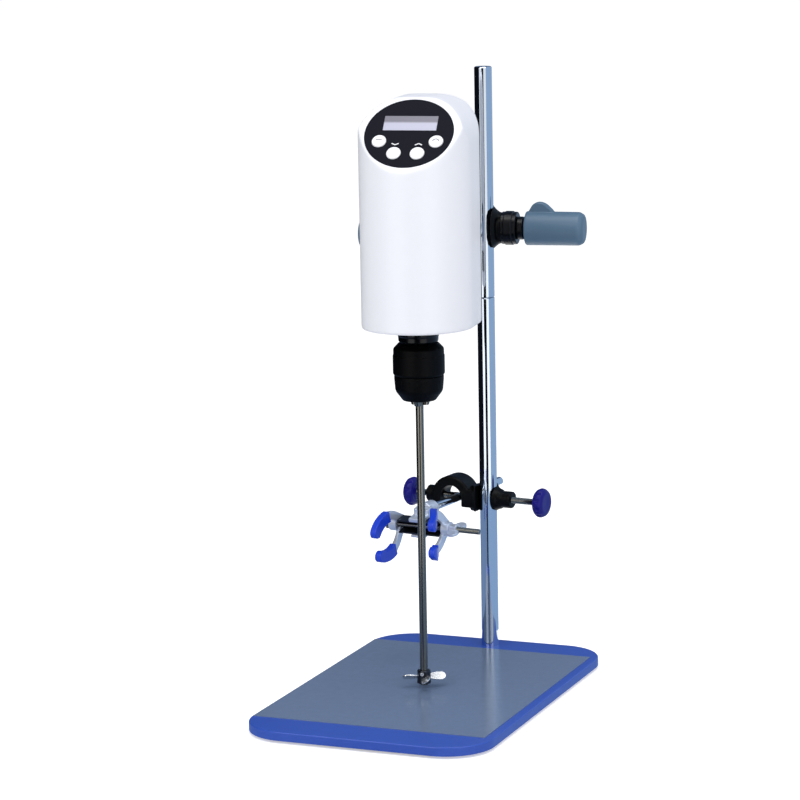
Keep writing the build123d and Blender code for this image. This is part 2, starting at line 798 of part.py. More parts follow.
with BuildPart() as motor_bracket:
    inner = housing_wall + pocket_gap
    with BuildSketch(stir.offset(motor_floor - bracket_thick)) as bracket_plan:
        Circle(housing_radius - inner)
        Rectangle(2 * (housing_radius - inner), housing_back - inner, align=(Align.CENTER, Align.MIN))
        fillet(bracket_plan.vertices().group_by(Axis.Y)[-1], housing_back_corner - inner)
    extrude(amount=bracket_thick)
    with BuildSketch(stir.offset(cover_top)):
        Circle(column_radius)
    extrude(amount=motor_floor - cover_top)
    with BuildSketch(stir.offset(cover_top)):
        Circle(bearing_radius - bearing_step)
    extrude(amount=motor_floor - cover_top, mode=Mode.SUBTRACT)
    with BuildSketch(stir.offset(cover_top)):
        Circle(bearing_radius + fit_gap)
    extrude(amount=bearing_lower_z + bearing_width - cover_top, mode=Mode.SUBTRACT)
    with BuildSketch(stir.offset(bearing_upper_z)):
        Circle(bearing_radius + fit_gap)
    extrude(amount=motor_floor - bearing_upper_z, mode=Mode.SUBTRACT)
    with BuildSketch(back_face.offset(-housing_wall)):
        with Locations((0, bar_z)):
            with PolarLocations(flange_screw_circle, 4, 45):
                Circle(flange_screw_radius + pocket_gap)
    extrude(amount=-flange_thick, mode=Mode.SUBTRACT)
keep(motor_bracket.part, "motor_bracket")

with BuildPart() as spindle_bearings:
    for low in (bearing_lower_z, bearing_upper_z):
        with BuildSketch(stir.offset(low)):
            Circle(bearing_radius)
            Circle(spindle_radius + fit_gap, mode=Mode.SUBTRACT)
        extrude(amount=bearing_width)
keep(spindle_bearings.part, "spindle_bearings")

# ================================================================ spindle, chuck, shaft, impeller
core_top = sleeve_top - face_gap
motor_ceiling = motor_floor + motor_height
keep(
    round_bar(stir, spindle_radius, shaft_bore_top, motor_ceiling - 2 * motor_wall, shaft_chamfer),
    "spindle",
)
keep(
    round_bar(stir, rotor_radius, motor_floor + rotor_low, motor_ceiling - rotor_low, rotor_edge,
              spindle_radius + fit_gap),
    "motor_rotor",
)

jaw_slope = radians(jaw_lean)
jaw_axis_radius = shaft_radius + jaw_inset
jaw_frames = [
    Plane(
        origin=stir.from_local_coords(
            (jaw_axis_radius * cos(turn), jaw_axis_radius * sin(turn), chuck_tip)
        ),
        x_dir=stir.from_local_coords((-sin(turn), cos(turn), 0)) - stir.origin,
        z_dir=stir.from_local_coords(
            (sin(jaw_slope) * cos(turn), sin(jaw_slope) * sin(turn), cos(jaw_slope))
        ) - stir.origin,
    )
    for turn in (radians(-90), radians(30), radians(150))
]

with BuildPart() as chuck_body:
    with BuildSketch(local(stir, Plane.XZ)):
        with BuildLine():
            Polyline(
                (0, core_low),
                (core_tip_radius, core_low),
                (core_radius, core_low + core_taper),
                (core_radius, sleeve_split + face_gap),
                (collet_radius - collet_chamfer, sleeve_split + face_gap),
                (collet_radius, sleeve_split + face_gap + collet_chamfer),
                (collet_radius, core_top - collet_shoulder),
                (neck_low_radius, core_top),
                (0, core_top),
                close=True,
            )
        make_face()
    revolve(axis=Axis(stir.origin, stir.z_dir))
    with BuildSketch(stir.offset(core_low)):
        Circle(shaft_radius + fit_gap)
    extrude(amount=shaft_bore_top - core_low, mode=Mode.SUBTRACT)
    with BuildSketch(stir.offset(shaft_bore_top)):
        Circle(spindle_radius + fit_gap)
    extrude(amount=core_top - shaft_bore_top, mode=Mode.SUBTRACT)
    for frame in jaw_frames:
        with BuildSketch(frame):
            Circle(jaw_radius + fit_gap)
        extrude(amount=jaw_length + jaw_travel + jaw_room, mode=Mode.SUBTRACT)
keep(chuck_body.part, "chuck_body")

for number, frame in enumerate(jaw_frames, 1):
    with BuildPart() as chuck_jaw:
        with BuildSketch(frame.offset(-jaw_nose)):
            Circle(jaw_radius)
        extrude(amount=jaw_length + jaw_nose)
        with BuildSketch(stir.offset(0)):
            Circle(shaft_radius + fit_gap)
        extrude(amount=rod_top, mode=Mode.SUBTRACT)
        with BuildSketch(stir.offset(0)):
            Circle(housing_radius)
        extrude(amount=chuck_tip, mode=Mode.SUBTRACT)
    keep(chuck_jaw.part, f"chuck_jaw_{number}")

with BuildPart() as chuck_sleeve:
    with BuildSketch(local(stir, Plane.XZ)):
        with BuildLine():
            Polyline(
                (core_tip_radius + slide_gap, sleeve_low),
                (sleeve_nose_radius, sleeve_low),
                (sleeve_waist_radius, sleeve_low + sleeve_nose),
                (sleeve_radius, sleeve_split - flute_margin),
                (sleeve_radius, sleeve_split),
                (core_radius + slide_gap, sleeve_split),
                (core_radius + slide_gap, core_low + core_taper - slide_gap),
                (core_tip_radius + slide_gap, core_low - slide_gap),
                close=True,
            )
        make_face()
    revolve(axis=Axis(stir.origin, stir.z_dir))
    with BuildSketch(stir.offset(sleeve_low + sleeve_nose)):
        with PolarLocations(sleeve_radius + flute_radius * 0.6, flute_count):
            Circle(flute_radius)
    extrude(amount=sleeve_split - sleeve_low - sleeve_nose - flute_margin, mode=Mode.SUBTRACT)
keep(chuck_sleeve.part, "chuck_sleeve")

keep(round_bar(stir, shaft_radius, shaft_tip, shaft_grip_top, shaft_chamfer), "stirring_shaft")

hub_mid = impeller_z + impeller_hub_height / 2
with BuildPart() as impeller:
    with BuildSketch(stir.offset(impeller_z)):
        Circle(impeller_hub_radius)
    extrude(amount=impeller_hub_height)
    for turn in range(impeller_blades):
        around = Location((0, 0, hub_mid), (0, 0, 360 / impeller_blades * turn + blade_turn))
        blade_plane = Plane(stir * around * Location((0, 0, 0), (impeller_pitch, 0, 0)))
        with BuildSketch(blade_plane.offset(-impeller_blade_thick / 2)):
            with Locations((impeller_radius / 2, 0)):
                RectangleRounded(impeller_radius, impeller_blade_width, blade_corner)
        extrude(amount=impeller_blade_thick)
    with BuildSketch(stir.offset(impeller_z)):
        Circle(shaft_radius + fit_gap)
    extrude(amount=impeller_hub_height, both=True, mode=Mode.SUBTRACT)
    with BuildSketch(local(stir, Plane.XZ)):
        with Locations((0, impeller_z + impeller_hub_height - set_screw_down)):
            Circle(set_screw_radius + fit_gap)
    extrude(amount=2 * impeller_hub_radius, mode=Mode.SUBTRACT)
keep(impeller.part, "impeller")

with BuildPart() as impeller_set_screw:
    with BuildSketch(local(stir, Plane.XZ.offset(shaft_radius + fit_gap))):
        with Locations((0, impeller_z + impeller_hub_height - set_screw_down)):
            Circle(set_screw_radius)
    extrude(amount=set_screw_length)
keep(impeller_set_screw.part, "impeller_set_screw")


# ================================================================ clamp boss
clamp_boss = Plane(Location((0, rod_y, clamp_boss_z), (0, 0, clamp_swing)))
clamp_hook_x = -clamp_bar_offset + clamp_bar_radius + slide_gap - clamp_hook_radius
keep(
    boss_body(clamp_boss, -clamp_bar_offset, -clamp_bar_drop, clamp_bar_radius, clamp_hook_radius,
              (clamp_rod_wall, clamp_wall), (clamp_lobe_length, clamp_lobe_length), clamp_half_height,
              clamp_half_depth, clamp_lobe_radius, clamp_lip, clamp_screw_radius, 0, boss_edge),
    "clamp_boss_body",
)

clamp_rod_frame = screw_plane(clamp_boss, 0, 0, 1)
clamp_bar_frame = screw_plane(clamp_boss, -clamp_bar_offset, -clamp_bar_drop, -1)
lobe_past_rod = rod_bore + clamp_lobe_length
lobe_past_bar = -clamp_bar_offset - clamp_hook_x + clamp_hook_radius + clamp_lobe_length
for name, frame, seat, knob_low in (
    ("clamp_rod", clamp_rod_frame, rod_radius + slide_gap, lobe_past_rod + clamp_screw_reach),
    ("clamp_bar", clamp_bar_frame, clamp_bar_radius + slide_gap, lobe_past_bar + clamp_bar_screw_reach),
):
    pad_end = seat + clamp_pad_thick
    keep(round_bar(frame, clamp_screw_radius, seat, pad_end), f"{name}_pad")
    keep(round_bar(frame, clamp_screw_radius, pad_end, knob_low + knob_socket), f"{name}_screw")
    with BuildPart() as knob:
        with BuildSketch(frame.offset(knob_low)):
            Circle(knob_radius)
        extrude(amount=knob_thick)
        chamfer(knob.edges(), knob_chamfer)
        with BuildSketch(frame.offset(knob_low)):
            with PolarLocations(knob_radius + knob_flute_out, knob_flutes):
                Circle(knob_flute_radius)
        extrude(amount=knob_thick, mode=Mode.SUBTRACT)
        with BuildSketch(frame.offset(knob_low)):
            Circle(clamp_screw_radius + fit_gap)
        extrude(amount=knob_socket + fit_gap, mode=Mode.SUBTRACT)
    keep(knob.part, f"{name}_knob")


# ================================================================ finger clamp
clamp_bar_line = local(
    clamp_boss,
    Plane(origin=(-clamp_bar_offset, 0, -clamp_bar_drop), x_dir=(1, 0, 0), z_dir=(0, -1, 0)),
)
keep(
    round_bar(clamp_bar_line, clamp_bar_radius, -clamp_bar_back, clamp_bar_front, clamp_bar_chamfer),
    "clamp_bar",
)

clamp_head = Plane(
    clamp_boss
    * Location((-clamp_bar_offset, clamp_head_y, -clamp_head_drop))
    * Location((0, 0, 0), (clamp_pitch_down, 0, 0))
)
half_channel = channel_length / 2

with BuildPart() as clamp_channel:
    with BuildSketch(local(clamp_head, Plane.YZ.offset(-half_channel))):
        Rectangle(channel_depth, channel_height)
        with Locations((-channel_wall, 0)):
            Rectangle(channel_depth, channel_height - 2 * channel_wall, mode=Mode.SUBTRACT)
    extrude(amount=channel_length)
keep(clamp_channel.part, "clamp_channel")

with BuildPart() as clamp_yoke:
    hub_frame = clamp_bar_line.offset(clamp_bar_front + 3 - yoke_hub_length)
    with BuildSketch(hub_frame):
        Circle(yoke_hub_radius)
    extrude(amount=yoke_hub_length)
    with BuildSketch(local(clamp_head, Plane.YZ.offset(-yoke_width / 2))):
        with Locations((3, 1)):
            Rectangle(channel_depth + 10, channel_height + 6)
        with Locations((8, 9)):
            Rectangle(10, 12)
    extrude(amount=yoke_width)
    with BuildSketch(local(clamp_head, Plane.YZ.offset(-yoke_width))):
        with Locations((-10, 0)):
            Rectangle(channel_depth + 20, channel_height)
    extrude(amount=2 * yoke_width, mode=Mode.SUBTRACT)
    with BuildSketch(clamp_bar_line):
        Circle(clamp_bar_radius + fit_gap)
    extrude(amount=clamp_bar_front + fit_gap, mode=Mode.SUBTRACT)
keep(clamp_yoke.part, "clamp_yoke")

thread_line = local(clamp_head, Plane.YZ)
finger_line = half_channel + face_gap + finger_thick / 2
finger_outer = finger_line + finger_thick / 2 + finger_boss

with BuildPart() as clamp_thread:
    with BuildSketch(thread_line.offset(-finger_outer - thread_head)):
        Rectangle(square_head, square_head)
    extrude(amount=thread_head)
    with BuildSketch(thread_line.offset(-finger_outer)):
        Circle(thread_radius)
    extrude(amount=finger_outer + thread_end)
keep(clamp_thread.part, "clamp_thread")


def finger_form(jaw_frame, line_x, splay, grow, start):
    """Both fingers of one jaw: their side view cut with their splayed plan, thickened by grow.

    The jaw frame has its X along the thread; line_x is the jaw's place on it, splay how far the tips
    stand to the side of that, and the form begins start in front of the thread.
    """
    half_width = finger_width / 2 + grow
    point = -finger_length - finger_width / 2
    bend = 0.4 * (point + channel_depth)
    with BuildPart() as form:
        with BuildSketch(local(jaw_frame, Plane.YZ.offset(-2 * finger_length))):
            for up in (-1, 1):
                with BuildLine() as spine:
                    heel = (finger_reach_back, up * finger_root)
                    root = Line(heel, (-finger_fork, up * finger_shoulder))
                    TangentArc(root @ 1, (-finger_length, up * finger_spread), tangent=root % 1)
                trace(spine.edges(), 2 * half_width)
                with Locations(root @ 0, root @ 1, (-finger_length, up * finger_spread)):
                    Circle(half_width)
        extrude(amount=4 * finger_length)
        with BuildSketch(jaw_frame.offset(-2 * finger_length)):
            with BuildLine() as plan:
                base = Line((line_x, finger_reach_back + finger_width), (line_x, -channel_depth))
                tip = (line_x + splay, point)
                curl = Bezier(base @ 1, base @ 1 + (0, bend), (line_x + splay, point - bend), tip)
                Line(curl @ 1, curl @ 1 + (0, -2 * tip_wall))
            trace(plan.edges(), finger_thick + 2 * grow)
        extrude(amount=4 * finger_length, mode=Mode.INTERSECT)
        if start > 0:
            with BuildSketch(local(jaw_frame, Plane.XZ.offset(-2 * finger_length))):
                Rectangle(8 * finger_length, 4 * finger_length)
            extrude(amount=2 * finger_length + start, mode=Mode.SUBTRACT)
    return form.part


for side, tilt, splay, name in (
    (-1, left_tilt, left_splay, "left"),
    (1, right_tilt, right_splay, "right"),
):
    jaw_frame = Plane(clamp_head * Location((0, 0, 0), (tilt, 0, 0)))
    fingers = (jaw_frame, side * finger_line, side * splay)
    with BuildPart() as jaw:
        add(finger_form(*fingers, 0, 0))
        with BuildSketch(thread_line.offset(side * finger_line)):
            Circle(finger_boss_radius)
        extrude(amount=side * (finger_boss + finger_thick / 2))
        with BuildSketch(thread_line):
            Circle(thread_radius + fit_gap)
        extrude(amount=side * 2 * finger_outer, mode=Mode.SUBTRACT)
    keep(jaw.part, f"{name}_jaw")
    with BuildPart() as jaw_tips:
        add(finger_form(*fingers, tip_wall, tip_start))
        add(finger_form(*fingers, 0, 0), mode=Mode.SUBTRACT)
    keep(jaw_tips.part, f"{name}_jaw_tips")

with BuildPart() as wing_nut:
    nut_start = finger_outer
    with BuildSketch(thread_line.offset(nut_start)):
        Circle(wing_hub_radius)
    extrude(amount=wing_hub_length)
    with BuildSketch(clamp_head.offset(-wing_thick / 2)):
        for way in (-1, 1):
            wing_x = nut_start + face_gap + wing_span / 2
            with Locations((wing_x, way * (wing_hub_radius + wing_rise / 2))):
                Ellipse(wing_span / 2, wing_rise)
    extrude(amount=wing_thick)
    with BuildSketch(thread_line.offset(nut_start)):
        Circle(thread_radius + fit_gap)
    extrude(amount=2 * wing_hub_length, mode=Mode.SUBTRACT)
keep(wing_nut.part, "wing_nut")
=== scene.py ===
import json
import logging
import math
from collections.abc import Callable, Sequence
from dataclasses import dataclass
from enum import Enum

import bmesh
import bpy
from mathutils import Matrix, Vector

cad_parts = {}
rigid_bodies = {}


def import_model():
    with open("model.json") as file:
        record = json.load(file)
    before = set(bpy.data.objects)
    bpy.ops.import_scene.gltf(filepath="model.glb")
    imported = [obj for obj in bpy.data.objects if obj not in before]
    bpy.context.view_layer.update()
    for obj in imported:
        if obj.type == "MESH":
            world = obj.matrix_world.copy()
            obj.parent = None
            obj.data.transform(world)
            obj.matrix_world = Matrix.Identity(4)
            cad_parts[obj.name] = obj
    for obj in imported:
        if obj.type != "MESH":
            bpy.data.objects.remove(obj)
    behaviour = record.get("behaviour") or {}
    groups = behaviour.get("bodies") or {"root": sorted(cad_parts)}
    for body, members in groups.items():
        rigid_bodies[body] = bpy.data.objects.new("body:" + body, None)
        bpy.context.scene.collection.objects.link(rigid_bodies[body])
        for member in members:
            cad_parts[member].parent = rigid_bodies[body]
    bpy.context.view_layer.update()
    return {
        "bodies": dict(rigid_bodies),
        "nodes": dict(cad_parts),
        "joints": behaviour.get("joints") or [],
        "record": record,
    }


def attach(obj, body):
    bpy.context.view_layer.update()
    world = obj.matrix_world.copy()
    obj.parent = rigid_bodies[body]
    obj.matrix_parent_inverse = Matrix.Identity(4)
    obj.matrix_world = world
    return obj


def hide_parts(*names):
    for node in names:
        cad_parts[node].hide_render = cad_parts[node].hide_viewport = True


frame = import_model()

# The looks of an overhead stirrer on a plate stand.  The scene is in metres; the sizes of the
# pieces are in millimetres, in frames of their own, and are brought to metres when a piece is made.

log = logging.getLogger("stirrer")
MM = 0.001
FIT = 0.05  # drawn clearance between a turned piece and its bore
PRINT_THICK = 0.06  # printed strokes and marks
NEAR = 0.01  # how near to a face an edge counts as lying on it
Point = tuple[float, float]
Corner = tuple[float, float, float]
Colour = tuple[float, float, float]


# ---------------------------------------------------------------- places
def shift(x: float, y: float, z: float) -> Matrix:
    """A move, in millimetres."""
    return Matrix.Translation((x, y, z))


def turned(degrees: float, axis: str) -> Matrix:
    """A turn about the named axis."""
    return Matrix.Rotation(math.radians(degrees), 4, axis)


@dataclass(frozen=True)
class Places:
    """The frames of the sub-assemblies, in millimetres from the middle of the base plate."""

    rod_y: float = 155.5
    head_swing: float = 8.0
    head_height: float = 401.5
    bar_x: float = -25.0
    bar_drop: float = 6.5
    head_reach: float = 159.0
    panel_y: float = -21.6
    panel_z: float = 504.6
    panel_lean: float = 48.0
    clamp_swing: float = -7.2
    clamp_height: float = 150.0
    clamp_bar_x: float = -27.5
    clamp_bar_drop: float = 0.5
    clamp_head_y: float = -80.0
    clamp_head_drop: float = 13.0
    clamp_pitch: float = 13.0

    def rod(self) -> Matrix:
        """The support rod's axis, from the bench."""
        return shift(0, self.rod_y, 0)

    def head_boss(self) -> Matrix:
        """The boss that carries the stirrer's head."""
        return shift(0, self.rod_y, self.head_height) @ turned(self.head_swing, "Z")

    def spindle(self) -> Matrix:
        """The stirrer's spindle axis, from the bench."""
        return self.rod() @ turned(self.head_swing, "Z") @ shift(self.bar_x, -self.head_reach, 0)

    def panel(self) -> Matrix:
        """The slanted control panel: Z out of its face, Y up the slope."""
        return self.spindle() @ shift(0, self.panel_y, self.panel_z) @ turned(self.panel_lean, "X")

    def clamp_boss(self) -> Matrix:
        """The boss that carries the finger clamp."""
        return shift(0, self.rod_y, self.clamp_height) @ turned(self.clamp_swing, "Z")

    def clamp_head(self) -> Matrix:
        """The finger clamp's channel: X along its thread."""
        place = shift(self.clamp_bar_x, self.clamp_head_y, -self.clamp_head_drop)
        return self.clamp_boss() @ place @ turned(self.clamp_pitch, "X")

    def screw(self, boss: Matrix, x: float, z: float, outward: int) -> Matrix:
        """A clamp screw's frame: Z out along the screw, X upwards.

        Args:
            boss: The boss's frame.
            x: Where the held rod or bar is, across the boss.
            z: The screw's height in the boss's frame.
            outward: 1 for a screw on the right, -1 for one on the left.

        Returns:
            The frame of the screw.
        """
        axes = Matrix(((0, 0, outward, 0), (0, -outward, 0, 0), (1, 0, 0, 0), (0, 0, 0, 1)))
        return boss @ shift(x, 0, z) @ axes


PLACES = Places()


# ---------------------------------------------------------------- finishes
def tint(red: int, green: int, blue: int) -> Colour:
    """A display colour, 0 to 255, as the linear colour that a shader takes."""
    shares = [c / 255 for c in (red, green, blue)]
    return tuple(s / 12.92 if s <= 0.04045 else ((s + 0.055) / 1.055) ** 2.4 for s in shares)


class Value:
    """A shader socket that is worked with as a number."""

    def __init__(self, graph: "Graph", socket: bpy.types.NodeSocket) -> None:
        """Keeps the socket and the graph that it is in."""
        self.graph = graph
        self.socket = socket

    def _maths(self, operation: str, first: object, second: object) -> "Value":
        """One Math node on two values."""
        return self.graph.node("ShaderNodeMath", {"operation": operation}, {0: first, 1: second})["Value"]

    def __add__(self, other: object) -> "Value":
        """Sum."""
        return self._maths("ADD", self, other)

    def __sub__(self, other: object) -> "Value":
        """Difference."""
        return self._maths("SUBTRACT", self, other)

    def __mul__(self, other: object) -> "Value":
        """Product."""
        return self._maths("MULTIPLY", self, other)

    def __gt__(self, other: object) -> "Value":
        """1 where this is the greater, else 0."""
        return self._maths("GREATER_THAN", self, other)


class Outputs:
    """The outputs of a node, by name."""

    def __init__(self, graph: "Graph", node: bpy.types.Node) -> None:
        """Keeps the node and its graph."""
        self.graph = graph
        self.node = node

    def __getitem__(self, name: str | int) -> Value:
        """The named output."""
        return Value(self.graph, self.node.outputs[name])


class Graph:
    """A node tree that finishes, the floor and the world are drawn in."""

    def __init__(self, tree: bpy.types.NodeTree) -> None:
        """Starts from an empty tree."""
        self.tree = tree
        tree.nodes.clear()

    def node(self, kind: str, settings: dict | None = None, inputs: dict | None = None) -> Outputs:
        """Adds a node.

        Args:
            kind: The node's type.
            settings: Its own settings, set first; "stops" is a ramp's list of (place, colour).
            inputs: Values or links of its sockets, by name or number.

        Returns:
            The node's outputs.
        """
        made = self.tree.nodes.new(kind)
        for name, setting in (settings or {}).items():
            if name == "stops":
                ramp = made.color_ramp.elements
                while len(ramp) < len(setting):
                    ramp.new(1.0)
                for element, (place, colour) in zip(ramp, setting):
                    element.position = place
                    element.color = (*colour, 1.0)
            else:
                setattr(made, name, setting)
        for name, value in (inputs or {}).items():
            if isinstance(value, Value):
                self.tree.links.new(value.socket, made.inputs[name])
            elif isinstance(value, tuple) and len(value) == 3 and made.inputs[name].type == "RGBA":
                made.inputs[name].default_value = (*value, 1.0)
            else:
                made.inputs[name].default_value = value
        return Outputs(self, made)

    def noise(self, place: Value, scale: float, detail: float = 2.0) -> Value:
        """Smooth noise, 0 to 1, with that many blotches to the metre."""
        inputs = {"Vector": place, "Scale": scale, "Detail": detail, "Roughness": 0.55}
        return self.node("ShaderNodeTexNoise", None, inputs)["Fac"]

    def blend(self, share: object, first: object, second: object) -> Value:
        """A colour between two colours."""
        settings = {"data_type": "RGBA", "clamp_factor": True}
        return self.node("ShaderNodeMix", settings, {0: share, 6: first, 7: second})[2]

    def bump(self, height: Value, relief: float) -> Value:
        """A normal raised by height times relief millimetres."""
        inputs = {"Height": height, "Strength": 1.0, "Distance": relief * MM}
        return self.node("ShaderNodeBump", None, inputs)["Normal"]


@dataclass(frozen=True)
class Finish:
    """A surface: its colour, gloss, and the fine grain that shows close up.

    name is the finish's own name and slot the record's material that it stands for, which is not used here.
    shade is how much lighter and darker the colour runs, spread how much the roughness runs, grain the size
    of the texture in millimetres, pull how far it is drawn out along each axis, and relief its height
    in millimetres.
    """

    name: str
    slot: str
    colour: Colour
    rough: float = 0.5
    metal: float = 0.0
    coat: float = 0.0
    shade: float = 0.1
    spread: float = 0.08
    grain: float = 1.0
    pull: Corner = (1.0, 1.0, 1.0)
    relief: float = 0.02
    specular: float = 0.5

    def base(self, graph: Graph, place: Value, blotch: Value) -> object:
        """The colour over the surface.

        Args:
            graph: The material's graph.
            place: The point on the surface.
            blotch: Broad noise, 0 to 1.

        Returns:
            The colour socket.
        """
        darker = tuple(c * (1 - self.shade) for c in self.colour)
        lighter = tuple(min(1.0, c * (1 + self.shade)) for c in self.colour)
        return graph.blend(blotch, darker, lighter)

    def material(self) -> bpy.types.Material:
        """The finish as a material, made once."""
        made = bpy.data.materials.get(self.name)
        if made is not None:
            return made
        made = bpy.data.materials.new(self.name)
        made.use_nodes = True
        graph = Graph(made.node_tree)
        coordinates = graph.node("ShaderNodeTexCoord")["Object"]
        place = graph.node("ShaderNodeMapping", None, {"Vector": coordinates, "Scale": self.pull})["Vector"]
        fine = graph.noise(place, 1 / (self.grain * MM), 3.0)
        blotch = graph.noise(place, 1 / (9 * self.grain * MM))
        shader = graph.node(
            "ShaderNodeBsdfPrincipled",
            None,
            {
                "Base Color": self.base(graph, coordinates, blotch),
                "Metallic": self.metal,
                "Roughness": fine * self.spread + blotch * self.spread + (self.rough - self.spread),
                "Coat Weight": self.coat,
                "Coat Roughness": 0.08,
                "Specular IOR Level": self.specular,
                "Normal": graph.bump(fine, self.relief),
            },
        )
        graph.node("ShaderNodeOutputMaterial", None, {"Surface": shader["BSDF"]})
        made.diffuse_color = (*self.colour, 1.0)
        return made


@dataclass(frozen=True)
class ScreenFinish(Finish):
    """A display behind glass, with painted shade: darker towards its top and lighter towards its foot; up is
    its direction and foot its lower edge.
    """

    up: Corner = (0.0, 0.0, 1.0)
    foot: float = 0.0
    tall: float = 0.015
    # the colour of the painted shade at the screen's top
    shaded_top_colour: Colour = (0.1, 0.1, 0.13)
    contrast: float = 7.0

    def base(self, graph: Graph, place: Value, blotch: Value) -> object:
        """The screen's colour, from its foot to the painted shade at its top."""
        settings = {"operation": "DOT_PRODUCT"}
        along = graph.node("ShaderNodeVectorMath", settings, {0: place, 1: self.up})["Value"]
        share = ((along - self.foot) * (1 / self.tall) - 0.5) * self.contrast + blotch * 0.1
        return graph.blend(share, self.colour, self.shaded_top_colour)


def _panel_up() -> Corner:
    """The direction up the control panel."""
    return tuple(PLACES.panel().to_3x3() @ Vector((0, 1, 0)))


def _panel_point(x: float, y: float, z: float) -> Vector:
    """A point of the control panel, in metres."""
    return (PLACES.panel() @ Vector((x, y, z))) * MM


PAINT = Finish("blue_paint", "plate_paint", tint(46, 82, 180), 0.34, shade=0.05, spread=0.05, grain=0.9,
               relief=0.012)
SLATE = Finish("slate_mat", "mat_face", tint(103, 121, 151), 0.17, shade=0.07, spread=0.05, grain=0.7,
               relief=0.02)
CHROME = Finish("chrome_plate", "chrome", tint(214, 223, 234), 0.06, 1.0, shade=0.02, spread=0.02, grain=4.0,
                relief=0.001)
IRON = Finish("black_cast_iron", "black_cast", tint(4, 4, 5), 0.42, shade=0.25, grain=0.8, relief=0.04,
              specular=0.14)
BLACK = Finish("black_moulding", "black_plastic", tint(4, 4, 7), 0.2, shade=0.2, spread=0.05, grain=0.6,
               relief=0.01, specular=0.25)
SLEEVE = Finish("black_chuck", "black_plastic", tint(2, 2, 3), 0.5, shade=0.2, grain=0.5, relief=0.02,
                specular=0.1)
GRIP = Finish("slate_grip", "slate_grip", tint(22, 40, 64), 0.42, shade=0.05, grain=0.5, relief=0.008,
              specular=0.35)
SHELL = Finish("white_moulding", "white_shell", tint(237, 239, 247), 0.34, shade=0.01, spread=0.04, grain=0.7,
               relief=0.005)
PANEL = Finish("panel_film", "panel_black", tint(17, 18, 29), 0.5, shade=0.08, grain=0.4, relief=0.004,
               specular=0.08)
KEYS = Finish("white_keys", "button_white", tint(240, 241, 246), 0.38, shade=0.01, spread=0.03, grain=0.5,
              relief=0.004)
PRINT = Finish("white_print", "button_white", tint(232, 233, 238), 0.45, shade=0.02, grain=0.3, relief=0.002)
MARK = Finish("grey_print", "panel_black", tint(96, 98, 110), 0.45, shade=0.05, grain=0.3, relief=0.002)
STEEL = Finish("shaft_steel", "steel", tint(122, 120, 114), 0.2, 1.0, shade=0.08, grain=0.5,
               pull=(1, 1, 0.05), relief=0.003)
BLADE = Finish("blade_steel", "steel", tint(215, 218, 222), 0.24, 0.9, shade=0.06, grain=0.6, relief=0.006)
BRIGHT = Finish("bright_steel", "steel", tint(232, 233, 236), 0.22, 0.9, shade=0.04, grain=0.6, relief=0.004)
DARK = Finish("dark_steel", "dark_steel", tint(88, 86, 88), 0.3, 1.0, shade=0.15, grain=0.6, relief=0.01)
ZINC = Finish("cast_zinc", "zinc_cast", tint(216, 225, 241), 0.32, 0.6, shade=0.06, grain=0.9, relief=0.03)
CHANNEL = Finish("blackened_steel", "dark_steel", tint(58, 62, 70), 0.3, 0.9, shade=0.15, grain=0.7,
                 relief=0.01)
VINYL = Finish("blue_vinyl", "tip_blue", tint(10, 62, 214), 0.36, shade=0.06, grain=0.6, relief=0.02,
               coat=0.1)
KNOB = Finish("blue_knob", "knob_blue", tint(15, 8, 122), 0.36, shade=0.1, grain=0.7, relief=0.015,
              specular=0.3)
RUBBER = Finish("black_rubber", "rubber", tint(24, 24, 26), 0.8, shade=0.15, grain=0.5, relief=0.03)
BOARD = Finish("green_board", "board", tint(24, 92, 58), 0.45, shade=0.15, grain=1.2, relief=0.02)
COPPER = Finish("rotor_lamination", "aluminium", tint(150, 116, 96), 0.4, 0.9, shade=0.1, grain=0.4,
                pull=(0.2, 0.2, 2), relief=0.02)
# The screen's colour runs from its foot to a painted shade at its top.
SCREEN = ScreenFinish(
    "screen_glass", "lcd", tint(176, 177, 198), 0.3, shade=0.03, grain=0.5, relief=0.001, coat=0.2,
    up=_panel_up(), foot=Vector(_panel_up()).dot(_panel_point(0, 3.05, 0)), shaded_top_colour=tint(104, 103, 118),
)


# ---------------------------------------------------------------- shapes
class Mix(Enum):
    """How one closed shape acts on another."""

    CUT = "DIFFERENCE"
    JOIN = "UNION"
    COMMON = "INTERSECT"


def above(height: float) -> Callable[[bmesh.types.BMEdge], bool]:
    """A test for the edges that lie above a height."""
    return lambda edge: all(vert.co.z > height for vert in edge.verts)


def below(height: float) -> Callable[[bmesh.types.BMEdge], bool]:
    """A test for the edges that lie below a height."""
    return lambda edge: all(vert.co.z < height for vert in edge.verts)


def oblong(x: float, y: float, corner: float) -> list[Corner]:
    """The outline of a rectangle of half sizes x and y about the origin."""
    return [(-x, -y, corner), (x, -y, corner), (x, y, corner), (-x, y, corner)]


